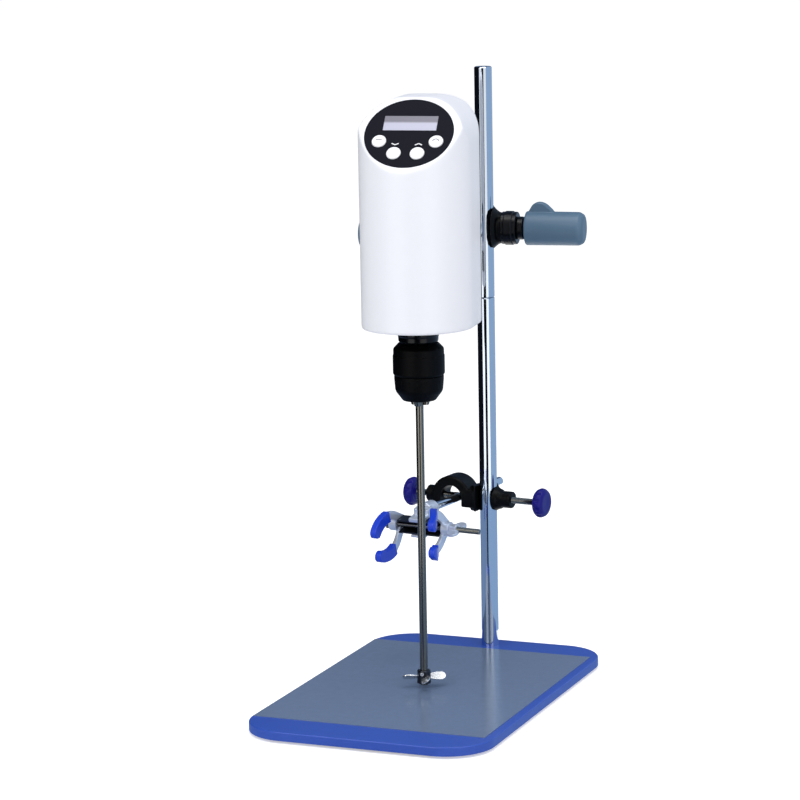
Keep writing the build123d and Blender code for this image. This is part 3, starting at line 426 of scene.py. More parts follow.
class Shape:
    """A mesh in the making, in millimetres."""

    def __init__(self) -> None:
        """Starts empty."""
        self.bm = bmesh.new()

    @classmethod
    def of_node(cls, node: str) -> "Shape":
        """A merged copy of a CAD node."""
        made = cls()
        made.bm.from_mesh(frame["nodes"][node].data)
        bmesh.ops.scale(made.bm, vec=(1 / MM,) * 3, verts=made.bm.verts)
        bmesh.ops.remove_doubles(made.bm, verts=made.bm.verts, dist=0.002)
        flat = math.radians(0.5)
        bmesh.ops.dissolve_limit(made.bm, angle_limit=flat, verts=made.bm.verts, edges=made.bm.edges)
        return made

    def facing(self) -> "Shape":
        """Turns every face outwards."""
        bmesh.ops.recalc_face_normals(self.bm, faces=self.bm.faces)
        return self

    def closed(self) -> "Shape":
        """Merges doubles and turns the faces outwards."""
        bmesh.ops.remove_doubles(self.bm, verts=self.bm.verts, dist=0.0005)
        return self.facing()

    def round_corner(self, vert: bmesh.types.BMVert, cut: float, segments: int) -> None:
        """Rounds one corner of a flat outline, cut millimetres back along each side."""
        bmesh.ops.bevel(self.bm, geom=[vert], offset=cut, offset_type="OFFSET", segments=segments,
                        profile=0.5, affect="VERTICES", material=-1, clamp_overlap=True)

    def turn(self, profile: Sequence[Corner], steps: int = 72, ring: bool = False) -> "Shape":
        """Spins a profile about Z.

        Args:
            profile: (radius, height, rounding) of each corner.
            steps: How many sides the circle has.
            ring: Whether the last corner joins the first.

        Returns:
            The shape, for more work.
        """
        verts = [self.bm.verts.new((radius, 0, height)) for radius, height, _ in profile]
        pairs = list(zip(verts, verts[1:])) + ([(verts[-1], verts[0])] if ring else [])
        for pair in pairs:
            self.bm.edges.new(pair)
        for vert, (_, _, cut) in zip(verts, profile):
            if cut > 0:
                self.round_corner(vert, cut, 5)
        bmesh.ops.spin(self.bm, geom=[*self.bm.verts, *self.bm.edges], cent=(0, 0, 0), axis=(0, 0, 1),
                       angle=2 * math.pi, steps=steps, use_merge=True)
        return self.closed()

    def thread(self, radius: float, depth: float, pitch: float, low: float, high: float,
               steps: int = 28) -> "Shape":
        """A screw thread about Z.

        Args:
            radius: Its outer radius.
            depth: How deep the thread is.
            pitch: Its pitch.
            low: Its lower end.
            high: Its upper end.
            steps: How many sides each turn has.

        Returns:
            The shape, for more work.
        """
        count = int((high - low) / pitch)
        last = None
        for index in range(2 * count + 1):
            reach = radius - depth if index % 2 == 0 else radius
            vert = self.bm.verts.new((reach, 0, low + index * pitch / 2))
            if last is not None:
                self.bm.edges.new((last, vert))
            last = vert
        bmesh.ops.spin(self.bm, geom=[*self.bm.verts, *self.bm.edges], cent=(0, 0, 0), axis=(0, 0, 1),
                       dvec=(0, 0, pitch / steps), angle=2 * math.pi, steps=steps, use_merge=False)
        self.closed()
        bmesh.ops.holes_fill(self.bm, edges=[e for e in self.bm.edges if e.is_boundary])
        return self.closed()

    def slab(self, outline: Sequence[Corner], low: float, high: float, segments: int = 12) -> "Shape":
        """A flat outline with rounded corners, drawn up from low to high.

        Args:
            outline: (x, y, rounding) of each corner, in order.
            low: Where the slab starts.
            high: Where it ends.
            segments: How finely the corners are rounded.

        Returns:
            The shape, for more work.
        """
        verts = [self.bm.verts.new((x, y, low)) for x, y, _ in outline]
        self.bm.faces.new(verts)
        for vert, (_, _, cut) in zip(verts, outline):
            if cut > 0:
                self.round_corner(vert, cut, segments)
        raised = bmesh.ops.extrude_face_region(self.bm, geom=list(self.bm.faces))["geom"]
        tops = [part for part in raised if isinstance(part, bmesh.types.BMVert)]
        bmesh.ops.translate(self.bm, vec=(0, 0, high - low), verts=tops)
        bottom = [f for f in self.bm.faces if all(abs(v.co.z - low) < 1e-6 for v in f.verts)]
        if not bottom:
            bmesh.ops.holes_fill(self.bm, edges=[e for e in self.bm.edges if e.is_boundary])
        return self.closed()

    def disc(self, radius: float, low: float, high: float, across: float = 1.0, sides: int = 96) -> "Shape":
        """A round or oval disc; across stretches it in Y."""
        bmesh.ops.create_cone(self.bm, cap_ends=True, segments=sides, radius1=radius, radius2=radius,
                              depth=high - low, matrix=shift(0, 0, (high + low) / 2))
        bmesh.ops.scale(self.bm, vec=(1, across, 1), verts=self.bm.verts)
        return self.closed()

    def block(self, size: Corner, middle: Corner = (0, 0, 0)) -> "Shape":
        """A block of the given size about its middle."""
        bmesh.ops.create_cube(self.bm, size=1, matrix=shift(*middle) @ Matrix.Diagonal((*size, 1)))
        return self

    def soften(self, width: float, segments: int = 3, angle: float = 30.0,
               where: Callable[[bmesh.types.BMEdge], bool] | None = None) -> "Shape":
        """Rounds the edges that are sharper than an angle.

        Args:
            width: How wide the rounding is.
            segments: How fine it is.
            angle: The least angle between the faces, in degrees.
            where: A test that an edge must pass too.

        Returns:
            The shape, for more work.
        """
        edges = [
            e for e in self.bm.edges
            if len(e.link_faces) == 2 and e.calc_face_angle(0) > math.radians(angle)
            and (where is None or where(e))
        ]
        bmesh.ops.bevel(self.bm, geom=edges, offset=width, offset_type="OFFSET", segments=segments,
                        profile=0.5, affect="EDGES", material=-1, clamp_overlap=True)
        return self

    def place(self, matrix: Matrix) -> "Shape":
        """Moves the shape."""
        bmesh.ops.transform(self.bm, matrix=matrix, verts=self.bm.verts)
        return self

    def paint(self, index: int, where: Callable[[bmesh.types.BMFace], bool]) -> "Shape":
        """Gives the faces that pass a test the material of that number."""
        for face in self.bm.faces:
            if where(face):
                face.material_index = index
        return self

    def _object(self) -> bpy.types.Object:
        """A working object, which is deleted again."""
        mesh = bpy.data.meshes.new("working")
        self.bm.to_mesh(mesh)
        obj = bpy.data.objects.new("working", mesh)
        bpy.context.scene.collection.objects.link(obj)
        return obj

    def _applied(self, obj: bpy.types.Object, *spare: bpy.types.Object) -> "Shape":
        """Takes back an object's mesh with its modifiers applied."""
        bpy.context.view_layer.update()
        result = obj.evaluated_get(bpy.context.evaluated_depsgraph_get()).to_mesh()
        self.bm.clear()
        self.bm.from_mesh(result)
        for used in (obj, *spare):
            mesh = used.data
            bpy.data.objects.remove(used)
            bpy.data.meshes.remove(mesh)
        return self

    def mix(self, other: "Shape", how: Mix) -> "Shape":
        """Cuts, joins or keeps what is common with another closed shape."""
        base, tool = self._object(), other._object()
        step = base.modifiers.new("mix", "BOOLEAN")
        step.operation = how.value
        step.object = tool
        step.solver = "EXACT"
        return self._applied(base, tool)

    def add(self, other: "Shape") -> "Shape":
        """Sets another shape beside this one in the same mesh."""
        mesh = bpy.data.meshes.new("working")
        other.bm.to_mesh(mesh)
        self.bm.from_mesh(mesh)
        bpy.data.meshes.remove(mesh)
        return self

    def melt(self, voxel: float, rounds: int) -> "Shape":
        """Blends a shape's edges together, as in a moulding or a casting.

        Args:
            voxel: The fineness of the new surface.
            rounds: How often it is smoothed.

        Returns:
            The shape, for more work.
        """
        base = self._object()
        remesh = base.modifiers.new("remesh", "REMESH")
        remesh.mode = "VOXEL"
        remesh.voxel_size = voxel
        smooth = base.modifiers.new("smooth", "SMOOTH")
        smooth.factor = 0.5
        smooth.iterations = rounds
        return self._applied(base)

    def piece(self, name: str, body: str, finishes: Sequence[Finish], nodes: Sequence[str] = (),
              seam: float = 40.0) -> bpy.types.Object:
        """Makes the finished piece.

        Args:
            name: The piece's name.
            body: The body that it rides on.
            finishes: Its finishes, in the order of the faces' numbers.
            nodes: The CAD nodes that it stands for.
            seam: Edges sharper than this stay sharp, in degrees.

        Returns:
            The piece, in metres, at rest.
        """
        bmesh.ops.scale(self.bm, vec=(MM,) * 3, verts=self.bm.verts)
        mesh = bpy.data.meshes.new(name)
        self.bm.to_mesh(mesh)
        self.bm.free()
        mesh.shade_smooth()
        mesh.set_sharp_from_angle(angle=math.radians(seam))
        for finish in finishes:
            mesh.materials.append(finish.material())
        obj = bpy.data.objects.new(name, mesh)
        bpy.context.scene.collection.objects.link(obj)
        obj.modifiers.new("flat_faces_stay_flat", "WEIGHTED_NORMAL").keep_sharp = True
        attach(obj, body)
        if nodes:
            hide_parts(*nodes)
        log.info("made %s on %s with %d faces", name, body, len(mesh.polygons))
        return obj


def dress(finish: Finish, *nodes: str) -> None:
    """Gives CAD nodes a finish as they stand."""
    for node in nodes:
        mesh = frame["nodes"][node].data
        mesh.materials.clear()
        mesh.materials.append(finish.material())
        log.info("dressed %s in %s", node, finish.name)


# ---------------------------------------------------------------- sub-assemblies
@dataclass
class Stand:
    """The base plate with its mat, feet and the two-part support rod."""

    width: float = 222.0
    depth: float = 350.0
    low: float = 2.4
    thick: float = 8.0
    corner: float = 42.0
    edge: float = 1.1
    low_edge: float = 0.4
    mat_width: float = 213.0
    mat_depth: float = 275.0
    mat_thick: float = 0.6
    mat_corner: float = 0.8
    mat_side: float = 1.5
    mat_back: float = 36.0
    rod_radius: float = 8.0
    joint: float = 338.0
    top: float = 548.0
    groove: float = 0.5

    def plate(self) -> None:
        """The painted steel plate, its edges rounded."""
        x, y = self.width / 2, self.depth / 2
        top = self.low + self.thick
        shape = Shape().slab(oblong(x, y, self.corner), self.low, top, 32)
        shape.soften(self.edge, 4, 60, above(top - NEAR))
        shape.soften(self.low_edge, 2, 60, below(self.low + NEAR))
        shape.piece("plate", "stand", [PAINT], ["base_plate"])

    def mat(self) -> None:
        """The thin glossy mat on the plate."""
        left, back, cut = -self.width / 2 + self.mat_side, self.depth / 2 - self.mat_back, self.mat_corner
        right, front = left + self.mat_width, back - self.mat_depth
        low = self.low + self.thick
        corners = [(left, front, cut), (right, front, cut), (right, back, cut), (left, back, cut)]
        shape = Shape().slab(corners, low, low + self.mat_thick, 4)
        shape.soften(0.25, 2, 60, above(low + self.mat_thick / 2))
        shape.piece("mat", "stand", [SLATE], ["base_mat"])

    def rods(self) -> None:
        """The two sections of the rod, with a fine groove where they meet."""
        r, g = self.rod_radius, self.groove
        low = self.low + self.thick
        joint, top = self.joint, self.top
        lower = [(0, low, 0), (r, low, 0), (r, joint - 2 * g, 0), (r - g, joint - g, 0), (0, joint - g, 0)]
        upper = [(0, joint, 0), (r - g, joint, 0), (r, joint + g, 0), (r, top - 0.9, 0.3),
                 (r - 0.9, top, 0.3), (0, top, 0)]
        for profile, end, body in ((lower, "lower", "stand"), (upper, "upper", "upper_rod")):
            shape = Shape().turn(profile, 96).place(PLACES.rod())
            shape.piece(f"rod_{end}", body, [CHROME], [f"support_rod_{end}"])

    def build(self) -> None:
        """Makes every piece of the stand."""
        self.plate()
        self.mat()
        self.rods()
        dress(RUBBER, "base_feet")
        dress(DARK, "rod_screw", "rod_joint_stud")


def tapered(shape: Shape, frame: Matrix, outline: Sequence[Corner]) -> Shape:
    """Tapers a boss round its screw, as a cone.

    Args:
        shape: The boss.
        frame: The screw's frame, Z out along the screw.
        outline: Round what stays: radius, distance out and rounding of each corner, from the foot.

    Returns:
        The shape.
    """
    foot, end = outline[0][1], outline[-1][1]
    away = 4 * outline[0][0]
    ring = Shape().turn([*outline, (away, end, 0), (away, foot, 0)], 72, ring=True)
    return shape.mix(ring.place(frame).facing(), Mix.CUT)


@dataclass
class HandScrew:
    """A clamp screw with its collar and its long grip, about the screw's own axis.

    The frame's origin is on what the screw clamps, Z runs out along the screw and X points up.
    """

    frame: Matrix
    name: str
    wall_end: float
    collar_radius: float = 15.5
    collar_length: float = 14.1
    gap: float = 0.3
    neck_radius: float = 10.5
    neck_length: float = 7.6
    band: float = 0.7
    screw_radius: float = 5.0
    screw_gap: float = 0.1
    pad_end: float = 11.3
    grip_radius: float = 15.5
    grip_length: float = 54.0
    grip_end: float = 5.0
    tab_length: float = 25.0
    tab_height: float = 8.6
    tab_thick: float = 8.0
    tab_foot: Point = (1.13, 6.37)

    def collar(self) -> None:
        """The glossy collar with a raised middle band."""
        r, low, high = self.collar_radius, self.wall_end, self.wall_end + self.collar_length
        bore = self.screw_radius + 0.3
        band = self.band
        profile = [
            (bore, low, 0), (r - band, low, 0.5), (r - band, low + 2.6, 0), (r, low + 3.3, 0.3),
            (r, high - 4.2, 0.3), (r - band, high - 3.4, 0), (r - band, high, 1.0), (bore, high, 0.4),
        ]
        shape = Shape().turn(profile, 96, ring=True).place(self.frame)
        shape.piece(f"{self.name}_ring", "head_boss", [BLACK], [f"{self.name}_collar"])

    def screw(self) -> None:
        """The screw and its shouldered neck, as one turned piece."""
        start = self.pad_end + self.screw_gap
        neck_low = self.wall_end + self.collar_length + self.gap
        neck_high = neck_low + self.neck_length
        core = self.screw_radius
        profile = [
            (0, start, 0), (core, start, 0.4), (core, neck_low, 0), (self.neck_radius, neck_low, 0.8),
            (self.neck_radius, neck_high - 2.2, 1.2), (self.neck_radius - 1.6, neck_high - 1.4, 0),
            (self.neck_radius - 1.6, neck_high, 0), (core, neck_high, 0),
            (core, neck_high + self.grip_length / 3, 0.4), (0, neck_high + self.grip_length / 3, 0),
        ]
        shape = Shape().turn(profile, 72).place(self.frame)
        shape.piece(f"{self.name}_shank", f"{self.name}_handle", [BLACK], [f"{self.name}_screw"])

    def grip(self) -> None:
        """The moulded grip: a plain barrel with a rounded end, melted into its thumb tab."""
        low = self.wall_end + self.collar_length + self.gap + self.neck_length
        high = low + self.grip_length
        bore = self.screw_radius + FIT
        r = self.grip_radius
        profile = [
            (bore, low, 0), (r - 0.6, low, 0.5), (r, low + 1.0, 0.6), (r - 0.3, high - 4.8, 1.2),
            (r - 2.4, high - 1.0, 1.2), (r - self.grip_end, high, 1.6), (0, high, 0),
            (0, low + self.grip_length / 3, 0), (bore, low + self.grip_length / 3, 0),
        ]
        barrel = Shape().turn(profile, 96, ring=True)
        foot, root = low + self.tab_foot[0], r - self.tab_foot[1]
        top, long = r + self.tab_height, self.tab_length
        tab = Shape().slab(
            [(foot, root, 0), (foot, r - 2.5, 1.0), (low + 0.3 * long, top, 4.6),
             (low + 0.68 * long, top, 4.6), (low + 1.04 * long, r, 2.6), (low + 1.04 * long, root, 0)],
            -self.tab_thick / 2, self.tab_thick / 2, 10,
        ).soften(1.6, 3, 50)
        tab.place(Matrix(((0, 1, 0, 0), (0, 0, 1, 0), (1, 0, 0, 0), (0, 0, 0, 1))))
        shape = barrel.mix(tab, Mix.JOIN).melt(0.5, 3).place(self.frame)
        shape.piece(f"{self.name}_barrel", f"{self.name}_handle", [GRIP], [f"{self.name}_grip"], 60.0)

    def build(self) -> None:
        """Makes the collar, the screw and the grip."""
        self.collar()
        self.screw()
        self.grip()


@dataclass
class HeadBoss:
    """The cast boss that holds the head's bar on the rod, with its two hand screws."""

    rod_radius: float = 8.0
    bar_radius: float = 6.5
    gap: float = 0.3
    wall: float = 8.3
    bar_wall: float = 5.0
    screw_bore: float = 5.35
    hook_radius: float = 9.0
    pad_thick: float = 3.0
    taper: tuple[Corner, ...] = ((30, 1.0, 0), (18.5, 8.0, 4.0), (14.2, 14.0, 1.0), (14.0, 24.0, 0))

    def build(self) -> None:
        """Makes the boss, its pads and its hand screws."""
        boss = PLACES.head_boss()
        rod_bore = self.rod_radius + self.gap
        bar_bore = self.bar_radius + self.gap
        past_bar = 2 * self.hook_radius - bar_bore + self.bar_wall
        rod_side = PLACES.screw(boss, 0, 0, 1)
        casting = tapered(Shape.of_node("head_boss_body"), rod_side, self.taper)
        bar_side = PLACES.screw(boss, PLACES.bar_x, -PLACES.bar_drop, -1)
        casting.melt(0.7, 6)
        for side, end in ((rod_side, rod_bore + self.wall), (bar_side, past_bar)):
            bore = Shape().disc(self.screw_bore, 0, end + 2, 1, 48)
            casting.mix(bore.place(side).facing(), Mix.CUT)
        casting.piece("boss_casting", "head_boss", [IRON], ["head_boss_body"], 70.0)
        HandScrew(rod_side, "head_rod", rod_bore + self.wall, pad_end=rod_bore + self.pad_thick).build()
        HandScrew(bar_side, "head_bar", past_bar, pad_end=bar_bore + self.pad_thick).build()
        dress(DARK, "head_rod_pad", "head_bar_pad")


@dataclass
class Housing:
    """The moulded head: a rounded column under a slanted face, closed by a cover with a neck."""

    radius: float = 49.2
    back: float = 56.0
    back_corner: float = 26.0
    bottom: float = 334.0
    top: float = 533.5
    crown: float = 40.0
    crown_back: float = 14.0
    rim: float = 5.0
    wall: float = 3.0
    cover_inset: float = 5.6
    cover_thick: float = 3.0
    neck_low: float = 322.0
    neck_radii: Point = (17.4, 19.2)
    bore: float = 8.0
    panel_size: Point = (39.25, 36.25)
    pocket_deep: float = 1.6
    button_hole: float = 6.7
    inlet_hole: Corner = (26.0, 18.0, -13.0)
    rocker_hole: Corner = (11.6, 18.6, 13.5)
    rear_height: float = 358.0

    def plan(self, inset: float, low: float, high: float, rim: float = 0.0) -> Shape:
        """The column seen from above: round in front, with rounded corners behind.

        Args:
            inset: How far it is drawn in.
            low: Its lower end.
            high: Its upper end.
            rim: The rounding of its lower edge.

        Returns:
            The column.
        """
        r, back, corner = self.radius - inset, self.back - inset, self.back_corner - inset
        outline = [(-r, -r, r - 0.02), (r, -r, r - 0.02), (r, back, corner), (-r, back, corner)]
        shape = Shape().slab(outline, low, high, 32)
        if rim > 0:
            shape.soften(rim, 8, 60, below(low + NEAR))
        return shape

    def form(self, inset: float, low: float, rim: float = 0.0) -> Shape:
        """The column cut by its crown and by the slanted face, in the spindle's frame.

        Args:
            inset: How far it is drawn in all round.
            low: Its lower end.
            rim: The rounding of its lower edge.

        Returns:
            The closed form.
        """
        r, back, top = self.radius - inset, self.back - inset, self.top - inset
        slope = math.radians(PLACES.panel_lean)
        face_y = PLACES.panel_y + inset / math.sin(slope)
        front, under = -self.radius - 1, low - 10
        brow = PLACES.panel_z + (front - face_y) * math.tan(slope)
        crest = face_y + (top - PLACES.panel_z) / math.tan(slope)
        crown = [(-r, under, 0), (r, under, 0), (r, top, self.crown - inset), (-r, top, self.crown - inset)]
        side = [(front, under, 0), (front, brow, 0), (crest, top, 2.0), (back, top, self.crown_back - inset),
                (back, under, 0)]
        fore_and_aft = Shape().slab(crown, -back - 5, self.radius + 5, 28).place(turned(90, "X"))
        across = Shape().slab(side, -r - 5, r + 5, 16)
        across.place(Matrix(((0, 0, 1, 0), (1, 0, 0, 0), (0, 1, 0, 0), (0, 0, 0, 1))))
        return self.plan(inset, low, top, rim).mix(fore_and_aft, Mix.COMMON).mix(across, Mix.COMMON)

    def shell(self) -> None:
        """The white moulding with its pocket, its openings and its hollow inside."""
        to_spindle = PLACES.spindle().inverted() @ PLACES.panel()
        hollow = self.form(self.wall, self.bottom + self.cover_thick + 0.4)
        hollow.mix(self.plan(self.cover_inset, self.bottom - 2, self.bottom + 6), Mix.JOIN)
        across, up = self.panel_size
        pocket = Shape().disc(across, -self.pocket_deep, 9, up / across, 160).place(to_spindle)
        for x, y in Panel.buttons():
            hole = Shape().disc(self.button_hole, -9, 3, 1, 48)
            pocket.mix(hole.place(to_spindle @ shift(x, y, 0)), Mix.JOIN)
        for wide, tall, x in (self.inlet_hole, self.rocker_hole):
            hole = Shape().block((wide, 4 * self.wall, tall), (x, self.back, self.rear_height))
            hollow.mix(hole, Mix.JOIN)
        shape = self.form(0, self.bottom, self.rim).melt(1.1, 12)
        shape.mix(hollow, Mix.CUT).mix(pocket, Mix.CUT).place(PLACES.spindle())
        shape.piece("head_shell", "head", [SHELL], ["housing"], 34.0)

    def cover(self) -> None:
        """The cover under the head with the neck that stands round the spindle."""
        low, high = self.neck_radii
        base = self.bottom
        plate = self.plan(self.cover_inset + 0.2, base, base + self.cover_thick)
        neck = Shape().turn([
            (self.bore, self.neck_low, 0), (low, self.neck_low, 0.8), (low + 0.3, self.neck_low + 4.5, 0.6),
            (high - 1.0, self.neck_low + 5.5, 0.8), (high, base, 0), (high, base + 1, 0),
            (self.bore, base + 1, 0),
        ], 96, ring=True)
        hole = Shape().disc(self.bore, base - 1, base + self.cover_thick + 1)
        plate.mix(hole, Mix.CUT).mix(neck, Mix.JOIN).place(PLACES.spindle())
        plate.piece("head_cover", "head", [BLACK], ["housing_cover"], 30.0)

    def build(self) -> None:
        """Makes the shell and its cover."""
        self.shell()
        self.cover()


@dataclass
class Panel:
    """The oval control panel: film, screen, printed arrows and four buttons."""

    half_width: float = 39.0
    half_height: float = 36.0
    thick: float = 2.0
    proud: float = 0.4
    screen: Point = (47.0, 15.3)
    screen_up: float = 10.7
    screen_thick: float = 1.2
    arrow: Point = (10.3, -11.6)
    stroke: Point = (3.7, 0.95)
    stroke_lean: float = 27.0
    button_radius: float = 6.4
    button_stand: float = 1.3
    button_deep: float = 4.6
    stem_radius: float = 2.0
    stem_end: float = 7.7
    dash: Point = (5.2, 0.75)
    bow: Point = (3.1, 0.7)

    @staticmethod
    def buttons() -> list[Point]:
        """The middles of the buttons, left to right."""
        return [(-25.0, -8.5), (-10.3, -21.0), (10.3, -21.0), (25.0, -8.5)]

    def film(self) -> None:
        """The dark oval with its holes and the screen's recess."""
        across = self.half_height / self.half_width
        shape = Shape().disc(self.half_width, self.proud - self.thick, self.proud, across, 160)
        shape.soften(0.5, 3, 60, above(self.proud - NEAR))
        wide, tall = self.screen
        deep = self.screen_thick
        tools = Shape().block((wide + 0.1, tall + 0.1, 2 * deep), (0, self.screen_up, self.proud))
        for x, y in self.buttons():
            tools.mix(Shape().disc(self.button_radius + 0.3, -9, 9, 1, 48).place(shift(x, y, 0)), Mix.JOIN)
        shape.mix(tools, Mix.CUT).place(PLACES.panel())
        shape.piece("panel_film_oval", "head", [PANEL], ["control_panel"], 30.0)

    def window(self) -> None:
        """The screen, a little below the film's face."""
        x, y = self.screen[0] / 2, self.screen[1] / 2
        low = self.proud - self.screen_thick
        shape = Shape().slab(oblong(x, y, 0.5), low, self.proud - 0.1, 4)
        shape.soften(0.15, 2, 60, above(low + 0.5))
        shape.place(PLACES.panel() @ shift(0, self.screen_up, 0))
        shape.piece("screen", "head", [SCREEN], ["lcd_window"], 30.0)

    def bar(self, size: Point, lean: float, place: Point, low: float) -> Shape:
        """One printed stroke.

        Args:
            size: Its length and width.
            lean: Its turn, in degrees.
            place: Its middle.
            low: The face that it lies on.

        Returns:
            The stroke, with rounded ends.
        """
        x, y = size[0] / 2, size[1] / 2
        stroke = Shape().slab(oblong(x, y, 0.3), low, low + PRINT_THICK, 3)
        return stroke.place(shift(*place, 0) @ turned(lean, "Z"))

    def arrows(self) -> None:
        """The white down and up arrows above the two lower buttons."""
        shape = Shape()
        x, y = self.arrow
        reach = 0.46 * self.stroke[0] * math.cos(math.radians(self.stroke_lean))
        for side, way in ((-1, -1), (1, 1)):
            for half in (-1, 1):
                place = (side * x + half * reach, y)
                shape.add(self.bar(self.stroke, -half * way * self.stroke_lean, place, self.proud))
        shape.place(PLACES.panel()).piece("panel_arrows", "head", [PRINT])

    def button(self, number: int, place: Point) -> None:
        """A domed button on its stem, with its mark.

        Args:
            number: Its number, from the left.
            place: Its middle.
        """
        r, top = self.button_radius, self.button_stand
        shape = Shape().turn([
            (0, top, 0), (0.6 * r, top - 0.04, 1.0), (r - 0.7, top - 0.2, 0.5), (r, top - 0.9, 0.5),
            (r, -self.button_deep, 0.3), (self.stem_radius, -self.button_deep, 0),
            (self.stem_radius, -self.stem_end, 0.4), (0, -self.stem_end, 0),
        ], 64)
        size, low = {1: self.dash, 4: self.bow}.get(number, (0, 0)), top - 0.03
        mark = Shape()
        if number == 1:
            mark = self.bar(size, 0, (0, 0.8), low)
        elif number == 4:
            reach, wide = size
            end, high = reach - wide, low + PRINT_THICK
            profile = [(end, low, 0), (reach, low, 0), (reach, high, 0), (end, high, 0)]
            mark = Shape().turn(profile, 48, ring=True)
            mark.mix(Shape().block((8, 8, 8), (0, 4.6, 0)), Mix.COMMON).place(shift(0, -0.8, 0))
        shape.add(mark.paint(1, lambda face: True))
        shape.place(PLACES.panel() @ shift(*place, 0))
        shape.piece(f"button_{number}_cap", f"button_{number}", [KEYS, MARK], [f"button_{number}"], 50.0)

    def build(self) -> None:
        """Makes the panel and all that is on it."""
        self.film()
        self.window()
        self.arrows()
        for number, place in enumerate(self.buttons(), 1):
            self.button(number, place)
        dress(BOARD, "control_board")


